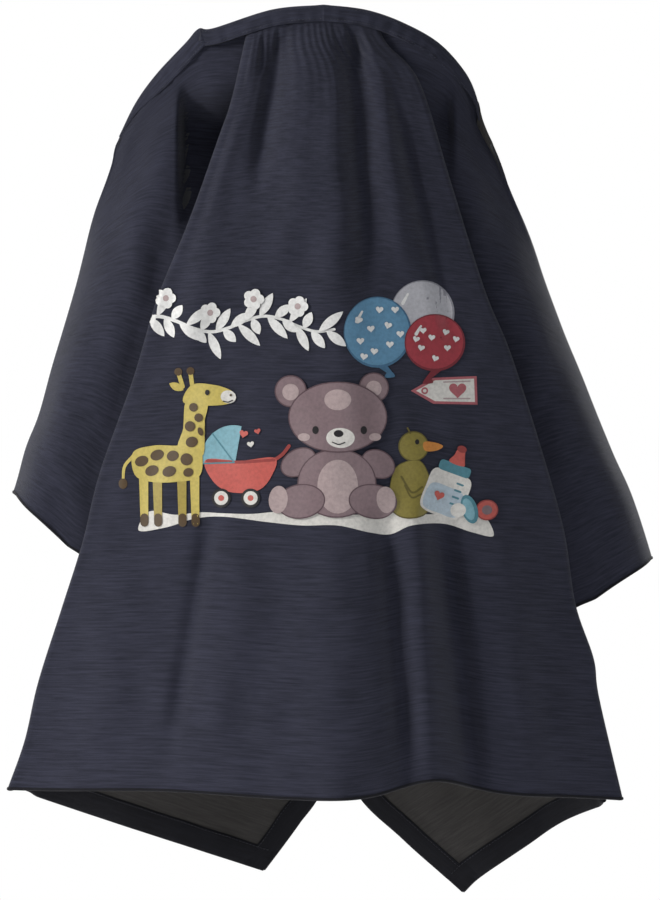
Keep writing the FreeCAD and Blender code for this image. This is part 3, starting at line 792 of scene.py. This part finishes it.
def band_rows(profile, count=260):
    path = curve_through(arch_points, count)
    along = np.gradient(path, axis=0)
    along /= np.linalg.norm(along, axis=1, keepdims=True)
    inward = np.stack([along[:, 1], -along[:, 0]], axis=1)
    run = np.linspace(0, 1, count)
    taper = 0.14 + 0.86 * smooth(np.minimum(run, 1 - run) / 0.17)
    pucker = 0.0006 * np.sin(run * 190) + 0.0005 * np.sin(run * 73 + 1)
    rows = []
    for share, shift in profile:
        flat = path + inward * (share * BAND_WIDTH * taper)[:, None]
        depth = band_y(flat[:, 0]) + shift + pucker * min(share * 2, 1) * taper
        rows.append(np.stack([flat[:, 0], depth, flat[:, 1]], axis=-1))
    return np.stack(rows)


def make_band():
    outer_rows = band_rows(BAND_OUTER)
    outer = dress(grid_object("band_outer", outer_rows), NAVY, "shell_cloth")
    inner = dress(grid_object("band_facing", band_rows(BAND_INNER)), LINING, "lining_cloth")
    for piece, node, depth in ((outer, "neck_band", 0.008), (inner, "neck_band_facing", -0.001)):
        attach(piece, "front")
        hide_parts(node)
    normals = np.tile([0.0, -1.0, 0.0], (outer_rows.shape[1], 1))
    for name, row in (("band_stitches_low", 3), ("band_stitches_top", 6)):
        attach(stitches(name, outer_rows[row], normals), "front")


# ---------------------------------------------------------------- closure tab and hanging loop


def rounded_outline(width, height, radius, steps=6):
    points = []
    for corner, (cx, cy) in enumerate(((1, 1), (-1, 1), (-1, -1), (1, -1))):
        for step in range(steps + 1):
            angle = (corner + step / steps) * math.pi / 2
            points.append((cx * (width / 2 - radius) + radius * math.cos(angle),
                           cy * (height / 2 - radius) + radius * math.sin(angle)))
    return np.array(points)


def cushion_plate(name, low, high, radius, rim, wave=0.0):
    """A thin flat piece in the XZ plane with round corners, soft rims and a slight wave."""
    middle = (np.array(low) + np.array(high)) / 2
    size = np.array(high) - np.array(low)
    half = size[1] / 2
    levels = ((-half, -rim), (-half * 0.6, -rim * 0.25), (0.0, 0.0), (half * 0.6, -rim * 0.25), (half, -rim))
    vertices, faces = [], []
    rings = []
    for depth, inset in levels:
        ring = rounded_outline(size[0] + 2 * inset, size[2] + 2 * inset, radius + inset)
        rings.append(np.stack([ring[:, 0], np.full(len(ring), depth), ring[:, 1]], axis=-1))
    count = len(rings[0])
    for end, order in ((0, (0.0, 0.35, 0.7)), (-1, (0.7, 0.35, 0.0))):
        scaled = [rings[end] * np.array([share, 1, share]) for share in order]
        rings = scaled + rings if end == 0 else rings + scaled
    vertices = np.concatenate(rings) + middle
    vertices[:, 1] += wave * np.sin((vertices[:, 0] - middle[0]) / size[0] * math.pi * 1.5)
    for ring in range(len(rings) - 1):
        for turn in range(count):
            after = (turn + 1) % count
            a, b = ring * count, (ring + 1) * count
            faces.append((a + turn, b + turn, b + after, a + after))
    thing = make_object(name, vertices, faces, vertices[:, [0, 2]])
    mesh = bmesh.new()
    mesh.from_mesh(thing.data)
    bmesh.ops.remove_doubles(mesh, verts=mesh.verts, dist=1e-6)
    bmesh.ops.recalc_face_normals(mesh, faces=mesh.faces)
    mesh.to_mesh(thing.data)
    mesh.free()
    return thing


def make_closure():
    low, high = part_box("closure_tab")
    tab = dress(cushion_plate("closure_webbing", low, high, 0.006, 0.0006, 0.0012), TAPE, "tape")
    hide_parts("closure_tab")
    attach(tab, "tab")
    inset = 0.003
    frame_line = rounded_outline(high.x - low.x - 2 * inset, high.z - low.z - 2 * inset, 0.004, 8)
    frame_line = np.vstack([frame_line, frame_line[:1]])
    middle = (low + high) / 2
    faces = (("tab_stitches_back", high.y + 0.0002, 1), ("tab_stitches_front", low.y - 0.0002, -1))
    for name, y, facing in faces:
        points = np.stack([frame_line[:, 0] + middle.x, np.full(len(frame_line), y),
                           frame_line[:, 1] + middle.z], axis=-1)
        normals = np.tile([0.0, float(facing), 0.0], (len(points), 1))
        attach(stitches(name, points, normals), "tab")
    low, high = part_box("hook_strip")
    hooks = dress(cushion_plate("hook_patch", low, high, 0.003, 0.0003, 0.0012), HOOKS, "hook_and_loop")
    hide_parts("hook_strip")
    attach(hooks, "tab")
    low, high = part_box("loop_strip")
    xs, zs = np.meshgrid(np.linspace(low.x, high.x, 30), np.linspace(high.z, low.z, 20))
    tree = surface_tree("right_back_cloth")
    points = np.zeros(xs.shape + (3,))
    for index in np.ndindex(xs.shape):
        hit = tree.ray_cast(Vector((xs[index], 1.0, zs[index])), Vector((0, -1, 0)))[0]
        edge = min(xs[index] - low.x, high.x - xs[index], zs[index] - low.z, high.z - zs[index])
        points[index] = (xs[index], hit.y + 0.0003 + 0.0014 * min(edge / 0.0012, 1), zs[index])
    patch_cloth = dress(grid_object("loop_patch", points), LOOPS, "hook_and_loop")
    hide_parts("loop_strip")
    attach(patch_cloth, "right_back")


def make_hanger():
    low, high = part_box("hanging_loop")
    radius = (high.x - low.x) / 2
    middle_x = (low.x + high.x) / 2
    turn = np.linspace(math.pi, 2 * math.pi, 40)
    centre = radius - TAPE_WIDTH / 2
    round_z = low.z + radius
    straight = np.linspace(high.z, round_z, 20)[:-1]
    first, last = np.full(19, middle_x - centre), np.full(19, middle_x + centre)
    xs = np.concatenate([first, middle_x + centre * np.cos(turn), last])
    zs = np.concatenate([straight, round_z + centre * np.sin(turn), straight[::-1]])
    path = np.stack([xs, np.zeros_like(xs), zs], axis=-1)
    along = np.gradient(path, axis=0)
    along /= np.linalg.norm(along, axis=1, keepdims=True)
    aside = np.stack([along[:, 2], np.zeros(len(along)), -along[:, 0]], axis=-1)
    thick = (high.y - low.y) / 2
    section = ((-0.5, 0.3), (-0.46, 0.9), (0.0, 1.0), (0.46, 0.9), (0.5, 0.3), (0.5, -0.3), (0.46, -0.9),
               (0.0, -1.0), (-0.46, -0.9), (-0.5, -0.3), (-0.5, 0.3))
    rows = [path + aside * (share * TAPE_WIDTH) + np.array([0, (low.y + high.y) / 2 + level * thick, 0])
            for share, level in section]
    loop = dress(grid_object("hanging_tape", np.stack(rows)), TAPE, "tape")
    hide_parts("hanging_loop")
    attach(loop, "hanger")


# ---------------------------------------------------------------- print


def surface_tree(name):
    """A piece's surface, to lay other things on."""
    return BVHTree.FromObject(bpy.data.objects[name], bpy.context.evaluated_depsgraph_get())


def placed(points, x, z, turn):
    """Points turned by so many degrees about the origin and moved to (x, z)."""
    c, s = math.cos(math.radians(turn)), math.sin(math.radians(turn))
    px, pz = points[:, 0], points[:, 1]
    return np.stack([x + px * c - pz * s, z + px * s + pz * c], axis=-1)


def circle(x, z, radius, tall=None, turn=0.0):
    """An ellipse, or a circle if its height isn't given."""
    tall = radius if tall is None else tall
    angle = np.linspace(0, 2 * math.pi, 40, endpoint=False)
    return placed(np.stack([radius * np.cos(angle), tall * np.sin(angle)], axis=-1), x, z, turn)


def closed_curve(points):
    """A smooth closed outline through the points."""
    steps = 8
    points = np.array(points, float)
    looped = np.vstack([points[-1:], points, points[:2]])
    curve = []
    for index in range(1, len(points) + 1):
        curve += [spline(*looped[index - 1:index + 3], step / steps) for step in range(steps)]
    return np.array(curve)


def stroke(points, width, end_width=None, steps=30):
    """A drawn line with round ends; it may narrow towards its end."""
    end_width = width if end_width is None else end_width
    path = curve_through(points, steps)
    along = np.gradient(path, axis=0)
    along /= np.linalg.norm(along, axis=1, keepdims=True)
    aside = np.stack([-along[:, 1], along[:, 0]], axis=-1)
    half = (np.linspace(width, end_width, steps) / 2)[:, None]
    cap = np.linspace(math.pi / 2, -math.pi / 2, 7)[1:-1]
    tip = [path[-1] + half[-1] * (aside[-1] * math.sin(a) + along[-1] * math.cos(a)) for a in cap]
    tail = [path[0] - half[0] * (aside[0] * math.sin(a) + along[0] * math.cos(a)) for a in cap]
    return np.vstack([path + aside * half, tip, (path - aside * half)[::-1], tail])


def heart(x, z, size, turn=0.0):
    angle = np.linspace(0, 2 * math.pi, 36, endpoint=False)
    px = size * np.sin(angle) ** 3
    waves = 0.31 * np.cos(2 * angle) + 0.13 * np.cos(3 * angle) + 0.06 * np.cos(4 * angle)
    return placed(np.stack([px, size * (0.81 * np.cos(angle) - waves)], axis=-1), x, z, turn)


def leaf(x, z, length, width, turn):
    t = np.linspace(0, 1, 14)
    half = width / 2 * np.sin(t * math.pi) ** 0.8
    upper, lower = np.stack([t * length, half], axis=-1), np.stack([t * length, -half], axis=-1)
    return placed(np.vstack([upper, lower[::-1][1:-1]]), x, z, turn)


def furry(*parts):
    """Ellipses of fur, each with a darker rim: x, z, half width, half height, turn."""
    shapes = []
    for x, z, wide, tall, turn in parts:
        shapes.append(("plum", circle(x, z, wide + TOY_RIM, tall + TOY_RIM, turn)))
        shapes.append(("mauve", circle(x, z, wide, tall, turn)))
    return shapes


def toy_bear():
    ears = furry((-54, 30, 17, 17, 0), (41, 34, 16, 16, 0))
    arms = furry((-45, -52, 20.5, 14, 30), (46, -54, 19, 14.5, -30))
    feet = furry((-42, -97, 26.5, 18.5, 8), (40, -97, 26.5, 18.5, -8))
    inner_ears = [("blush", circle(-54, 29, 9.5)), ("blush", circle(41, 33, 9))]
    belly = furry((-1, -76, 43.5, 38.5, 0)) + [("blush", circle(0, -80, 23, 31))]
    soles = [("blush", circle(-68, -95, 11, 16, -6)), ("blush", circle(55, -95, 11, 15, 8))]
    face = [("blush", circle(0, 20, 15, 12)), ("cream", circle(3, -24, 16, 11.5)),
            ("ink", circle(1, -19, 5.5, 4)), ("ink", circle(-25, -15, 3.6, 4.6)),
            ("ink", circle(29, -15, 3.6, 4.6)),
            ("blush", circle(-38, -23, 7, 4.5)), ("blush", circle(42, -23, 7, 4.5)),
            ("ink", stroke([(-6, -29), (1, -31.5), (8, -29)], 1.3))]
    head = ears[::2] + ears[1::2] + inner_ears
    return head + arms + belly + feet + soles + furry((0, 0, 55, 39.5, 0)) + face


def toy_giraffe():
    body = closed_curve([(-44, 12), (-20, 20), (8, 20), (28, 26), (36, 8), (32, -16), (6, -22), (-22, -22),
                         (-42, -14)])
    neck = closed_curve([(8, 14), (14, 40), (16, 68), (26, 80), (42, 70), (38, 44), (36, 8)])
    head = closed_curve([(14, 70), (24, 90), (48, 90), (68, 84), (74, 76), (66, 68), (40, 66)])
    shapes = [("yellow", stroke([(-44, 8), (-54, -4), (-56, -20)], 4, 3)), ("brown", circle(-56, -24, 5, 6)),
              ("yellow", stroke([(13, 88), (8, 104)], 5)), ("yellow", stroke([(24, 90), (22, 104)], 5)),
              ("brown", circle(8, 105, 4.5)), ("brown", circle(22, 106, 4.5)),
              ("yellow", leaf(14, 84, 18, 9, 155))]
    for x in (-32, -16, 12, 27):
        shapes.append(("ochre" if x in (-16, 12) else "yellow", stroke([(x, -12), (x + 1, -68)], 11, 9)))
        shapes.append(("brown", stroke([(x + 1, -63), (x + 1, -69)], 9.5, 9.5)))
    shapes += [("yellow", body), ("yellow", neck), ("yellow", head), ("cream", circle(66, 76, 9, 7.5, -8))]
    spots = ((-34, 2, 8, 6), (-16, 9, 8, 6), (-22, -9, 8, 6), (2, 8, 7, 6), (-2, -10, 8, 6), (18, 4, 7, 7),
             (20, -11, 6, 5), (24, 24, 7, 6), (22, 42, 6, 6), (32, 52, 5, 5), (26, 64, 5, 5), (34, 36, 3, 5))
    shapes += [("brown", circle(x, z, wide, tall, 20)) for x, z, wide, tall in spots]
    return shapes + [("ink", circle(42, 81, 2.6, 3.2)), ("brown", circle(69, 78, 1.4)),
                     ("ink", stroke([(60, 71), (66, 70), (71, 72)], 1.2))]


def toy_pram():
    angle = np.linspace(math.pi * 0.42, math.pi * 1.02, 18)
    hood = np.vstack([[(-6, 16)], np.stack([-8 + 38 * np.cos(angle), 18 + 42 * np.sin(angle)], axis=-1)])
    tub = closed_curve([(-40, 20), (0, 19), (40, 22), (34, -2), (18, -16), (-12, -17), (-32, -4)])
    shapes = [("teal_pale", hood), ("coral_dark", stroke([(36, 18), (48, 26), (56, 36)], 4, 4)),
              ("coral", tub), ("coral_dark", stroke([(-38, 19), (0, 17.5), (39, 20)], 3.4))]
    for angle in (math.pi * 0.72, math.pi * 1.02):
        wide, tall = 38 * math.cos(angle), 42 * math.sin(angle)
        rib = [(-7, 17), (-8 + wide * 0.8, 18 + tall * 0.8), (-8 + wide, 18 + tall)]
        shapes.append(("teal", stroke(rib, 1.6)))
    for x in (-22, 12):
        shapes += [("ink", circle(x, -24, 11)), ("cream", circle(x, -24, 8)), ("coral", circle(x, -24, 3.4))]
    hearts = [("coral", heart(4, 50, 5, -12)), ("cream", heart(12, 38, 4, 10)),
              ("coral", heart(20, 53, 3.6, 15))]
    return shapes + hearts


def toy_duck():
    body = closed_curve([(-14, 20), (10, 26), (22, 6), (24, -20), (14, -36), (-8, -38), (-22, -26),
                         (-22, 0)])
    beak = closed_curve([(16, 48), (30, 47), (38, 43), (30, 38), (17, 38)])
    return [("olive_dark", circle(4, 43, 17.5)), ("olive_dark", body * 1.04), ("olive", body),
            ("olive", circle(4, 43, 16)), ("orange", beak),
            ("olive_dark", stroke([(-10, 8), (2, -10), (14, -4)], 2.4)),
            ("olive_dark", stroke([(-6, -2), (2, -16), (13, -12)], 2)),
            ("ink", circle(8, 48, 2.4, 3)), ("olive_dark", stroke([(0, 58), (-3, 64)], 2))]


def toy_bottle():
    body = closed_curve([(-22, 20), (0, 23), (22, 20), (25, 0), (23, -26), (0, -30), (-23, -26), (-25, 0)])
    milk = closed_curve([(-20, 2), (0, 5), (20, 1), (21, -24), (0, -27), (-21, -24)])
    shapes = [("cream", body), ("sky_pale", milk), ("teal", rounded_outline(38, 12, 4) + np.array([0, 27])),
              ("coral", closed_curve([(-9, 33), (-6, 42), (-4, 50), (4, 50), (6, 42), (9, 33)])),
              ("coral_dark", circle(0, 51, 5.5, 4))]
    shapes += [("teal", rounded_outline(9, 2.2, 1, 2) + np.array([12, level])) for level in (12, 4, -4, -12)]
    shapes.append(("coral", heart(-7, -8, 6)))
    return [(colour, placed(points, 0, 0, -20)) for colour, points in shapes]


def toy_rattle():
    return [("coral_dark", circle(20, -1, 13, 12)), ("coral", circle(20, -1, 11.5, 10.5)),
            ("mauve", circle(20, -1, 6, 5.5)), ("teal", circle(0, 0, 9, 17, 18)),
            ("teal_pale", circle(-1, 0, 6, 13, 18)), ("cream", circle(-13, -1, 9, 8))]


def ground_strip(width):
    top = [(x, 12 + 2 * math.sin(x * 0.09)) for x in np.linspace(-0.47, 0.47, 14) * width]
    low = [(0.5, -14), (0.44, -10), (0.36, 0), (0.27, -2), (0.21, -12), (0.15, -10), (0.06, -2), (-0.04, -2),
           (-0.14, 2), (-0.26, 8), (-0.34, 6), (-0.42, -4), (-0.5, -8)]
    return [("cream", closed_curve(top + [(share * width, z) for share, z in low]))]


def garland(width):
    """A leafy white spray with small blossoms, in place of the words of the print."""
    stem = [(x * width, 9 * math.sin(x * 11)) for x in np.linspace(-0.5, 0.5, 12)]
    path = curve_through(stem, 27)
    shapes = [("white", stroke(stem, 4.2, 3.0, 90))]
    for number, (x, z) in enumerate(path[1:-1]):
        up = 1 if number % 2 else -1
        size = 28 + 8 * math.sin(number * 1.7)
        shapes.append(("white", leaf(x, z, size, 11, up * (52 + 14 * math.sin(number)))))
    for number in (3, 9, 15, 21):
        x, z = path[number] + np.array([2, 22 if number % 2 else -20])
        petals = [circle(x + 6.5 * math.cos(a), z + 6.5 * math.sin(a), 5.6) for a in np.linspace(0, 5.03, 5)]
        shapes += [("white", petal) for petal in petals] + [("blush", circle(x, z, 3.6))]
    return shapes


BALLOONS = (
    # x, z, half width, half height, colour, rim colour, how far its knot is aside and below
    (52, 22, 37, 38, "grey_pale", "grey", 14, 5),
    (0, 0, 39, 41, "sky", "sky_dark", 14, 5),
    (66, -12, 35, 33, "berry", "berry_dark", -8, 8),
)
BLUE_HEARTS = ((-20, -10), (-4, -22), (14, -14), (-8, 4), (12, 8), (-22, 14), (2, 26), (20, 26), (26, -2),
               (-16, -28))
RED_HEARTS = ((-16, -6), (0, -18), (14, -6), (-4, 6), (12, 12), (-14, 14), (24, 4), (-22, 4))


def balloons():
    shapes = []
    for x, z, wide, tall, colour, rim, aside, below in BALLOONS:
        knot_x, knot_z = x + aside, z - tall - below
        shine = [(x - wide * 0.62, z + tall * 0.30), (x - wide * 0.46, z + tall * 0.58)]
        tail = [(knot_x - 6, knot_z - 6), (knot_x, knot_z + 2), (knot_x + 6, knot_z - 5)]
        shapes += [(rim, stroke([(x + 4, z - tall + 4), (knot_x, knot_z)], 9, 5)), (rim, closed_curve(tail)),
                   (rim, circle(x, z, wide, tall)),
                   (colour, circle(x - 0.5, z + 0.8, wide - 1.8, tall - 2.2)),
                   ("white", stroke(shine, 4, 2.4))]
    shapes += [("white", heart(x, z, 4.4, (x * 7) % 40 - 20)) for x, z in BLUE_HEARTS]
    return shapes + [("white", heart(x + 66, z - 12, 4.0, (x * 7) % 40 - 20)) for x, z in RED_HEARTS]


def price_tag():
    body = np.array([(-40, 0), (-14, 15), (36, 17), (37, -16), (-14, -15)])
    inner = np.array([(-34, 0), (-12, 12), (33, 14), (34, -13), (-12, -12)])
    return [("rose", body), ("cream", inner), ("rose", circle(-24, 0, 4)), ("cream", circle(-24, 0, 2)),
            ("rose", heart(14, 1, 10)), ("blush", stroke([(-2, -9), (28, -9)], 1.6)),
            ("blush", stroke([(-2, 10), (28, 11)], 1.6))]


INKS = {
    "white": (0.80, 0.80, 0.79), "cream": (0.74, 0.72, 0.68), "mauve": (0.235, 0.165, 0.180),
    "plum": (0.110, 0.065, 0.078), "blush": (0.46, 0.36, 0.36), "ink": (0.012, 0.010, 0.012),
    "yellow": (0.58, 0.47, 0.12), "ochre": (0.40, 0.31, 0.07), "brown": (0.085, 0.050, 0.020),
    "teal": (0.085, 0.25, 0.31), "teal_pale": (0.22, 0.44, 0.52), "coral": (0.58, 0.115, 0.095),
    "coral_dark": (0.33, 0.055, 0.05), "olive": (0.26, 0.215, 0.045), "olive_dark": (0.13, 0.105, 0.02),
    "orange": (0.60, 0.24, 0.05), "sky": (0.115, 0.275, 0.43), "sky_dark": (0.055, 0.15, 0.26),
    "sky_pale": (0.48, 0.58, 0.66), "berry": (0.38, 0.045, 0.062), "berry_dark": (0.20, 0.022, 0.034),
    "grey_pale": (0.50, 0.50, 0.54), "grey": (0.26, 0.26, 0.30), "rose": (0.42, 0.12, 0.14),
}
# Each printed group: the node it stands for, then its motifs at shares of the node's box
PRINTS = (
    ("toy_print", "nursery_print", (
        (ground_strip(409), (0.500, 0.075)), (toy_giraffe(), (0.098, 0.455)), (toy_pram(), (0.290, 0.365)),
        (toy_duck(), (0.760, 0.325)), (toy_bottle(), (0.862, 0.280)), (toy_rattle(), (0.925, 0.165)),
        (toy_bear(), (0.560, 0.740)))),
    ("balloon_film", "balloon_print", ((balloons(), (0.275, 0.435)),)),
    ("tag_film", "tag_print", ((price_tag(), (0.5, 0.5)),)),
    ("garland_film", "scroll_print", ((garland(222), (0.5, 0.5)),)),
)


def film_mesh(outlines, tree):
    """Flat outlines laid on the cloth: (ink number, level above the cloth, points in metres)."""
    whole = bmesh.new()
    for ink, level, points in outlines:
        piece = bmesh.new()
        ring = [piece.verts.new((p[0], 0, p[1])) for p in points]
        piece.faces.new(ring)
        bmesh.ops.triangulate(piece, faces=piece.faces[:])
        low, high = points.min(axis=0), points.max(axis=0)
        for axis, name in ((0, (1, 0, 0)), (1, (0, 0, 1))):
            for place in np.arange(math.ceil(low[axis] / FILM_CELL) * FILM_CELL, high[axis], FILM_CELL):
                parts = piece.verts[:] + piece.edges[:] + piece.faces[:]
                on_plane = Vector(name) * float(place)
                bmesh.ops.bisect_plane(piece, geom=parts, plane_co=on_plane, plane_no=name)
        lookup = {}
        for vert in piece.verts:
            hit, normal, _, _ = tree.ray_cast(Vector((vert.co.x, -1.0, vert.co.z)), Vector((0, 1, 0)))
            if hit is None:
                hit, normal = tree.find_nearest(Vector((vert.co.x, -0.08, vert.co.z)))[:2]
            normal = normal if normal.y < 0 else -normal
            lookup[vert] = whole.verts.new(hit + normal * (FILM_LIFT + FILM_STEP * level))
        for face in piece.faces:
            corners = [lookup[vert] for vert in face.verts]
            new = whole.faces.new(corners)
            new.material_index = ink
            new.smooth = True
        piece.free()
    whole.normal_update()
    mesh = bpy.data.meshes.new("film")
    for face in whole.faces:
        if face.normal.y > 0:
            face.normal_flip()
    whole.to_mesh(mesh)
    whole.free()
    return mesh


def make_print():
    tree = surface_tree("front_cloth")
    for name, node, motifs in PRINTS:
        outlines, inks = [], []
        for number, (shapes, place) in enumerate(motifs):
            x, z = spot(node, *place)
            for order, (ink, points) in enumerate(shapes):
                if ink not in inks:
                    inks.append(ink)
                level = order + 4 * number
                outlines.append((inks.index(ink), level, points / 1000 + np.array([x, z])))
        mesh = film_mesh(outlines, tree)
        thing = bpy.data.objects.new(name, mesh)
        bpy.context.scene.collection.objects.link(thing)
        for ink in inks:
            mesh.materials.append(MATERIALS[ink])
        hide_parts(node)
        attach(thing, "front")


MATERIALS = {ink: film_material(f"film_{ink}", colour) for ink, colour in INKS.items()}


# ---------------------------------------------------------------- studio


def make_floor():
    """A round pale floor, well below the hanging apron."""
    floor_z = cad_low.z - 0.30
    turns, radii = np.linspace(0, 2 * math.pi, 49), np.linspace(0.0, 2.4, 16)
    points = np.array([[(r * math.cos(a), r * math.sin(a), floor_z) for a in turns]
                       for r in radii])
    floor = grid_object("studio_floor", points)
    floor.data.materials.append(floor_material())


def aim(thing, target):
    thing.rotation_euler = (Vector(target) - thing.location).to_track_quat("-Z", "Y").to_euler()


def add_light(name, place, target, size, power, colour=(1, 1, 1)):
    data = bpy.data.lights.new(name, "AREA")
    data.shape = "RECTANGLE"
    data.size, data.size_y = size
    data.energy = power
    data.color = colour
    light = bpy.data.objects.new(name, data)
    light.location = place
    bpy.context.scene.collection.objects.link(light)
    aim(light, target)


def make_lights():
    middle = (0, 0, (cad_low.z + cad_high.z) / 2)
    add_light("key", (-3.7, -1.9, 1.1), middle, (1.1, 1.6), 150, (1.0, 0.985, 0.96))
    add_light("fill", (0.8, -4.6, -0.3), middle, (2.2, 2.6), 15, (0.92, 0.95, 1.0))
    add_light("top", (0.0, -1.2, 2.4), middle, (1.6, 1.6), 9)
    add_light("right_side", (3.6, -1.3, 0.2), middle, (1.2, 1.8), 10, (0.95, 0.97, 1.0))
    add_light("overhead", (0, 0, 4.5), middle, (3.0, 3.0), 30)
    add_light("back_right", (1.9, 4.0, 0.9), middle, (1.6, 1.6), 110)
    add_light("back_left", (-2.4, 3.6, 0.2), middle, (1.8, 1.8), 50)
    make_world()


def make_world():
    """White behind the apron, with only a little light from all round."""
    world = bpy.context.scene.world or bpy.data.worlds.new("studio")
    bpy.context.scene.world = world
    world.use_nodes = True
    tree = world.node_tree
    background = tree.nodes["Background"]
    background.inputs["Color"].default_value = (0.95, 0.97, 1.0, 1)
    background.inputs["Strength"].default_value = 0.11
    white = tree.nodes.new("ShaderNodeBackground")
    white.inputs["Color"].default_value = (1, 1, 1, 1)
    path = tree.nodes.new("ShaderNodeLightPath")
    mix = tree.nodes.new("ShaderNodeMixShader")
    tree.links.new(path.outputs["Is Camera Ray"], mix.inputs[0])
    tree.links.new(background.outputs[0], mix.inputs[1])
    tree.links.new(white.outputs[0], mix.inputs[2])
    tree.links.new(mix.outputs[0], tree.nodes["World Output"].inputs["Surface"])


def make_camera():
    """A long lens straight in front, with the apron filling the height of the picture as it hangs."""
    distance = 30.0
    view_height = 1.0095 * (cad_high.z - cad_low.z)
    data = bpy.data.cameras.new("camera")
    data.sensor_width = 36
    data.lens = data.sensor_width * distance / view_height
    camera = bpy.data.objects.new("camera", data)
    middle_z = (cad_low.z + cad_high.z) / 2
    bpy.context.scene.view_settings.view_transform = "Standard"
    camera.location = (0, -distance + cad_low.y, middle_z)
    camera.rotation_euler = (math.pi / 2, 0, 0)
    bpy.context.scene.collection.objects.link(camera)
    bpy.context.scene.camera = camera


make_camera()
make_panels()
make_band()
make_closure()
make_hanger()
make_print()
make_floor()
make_lights()
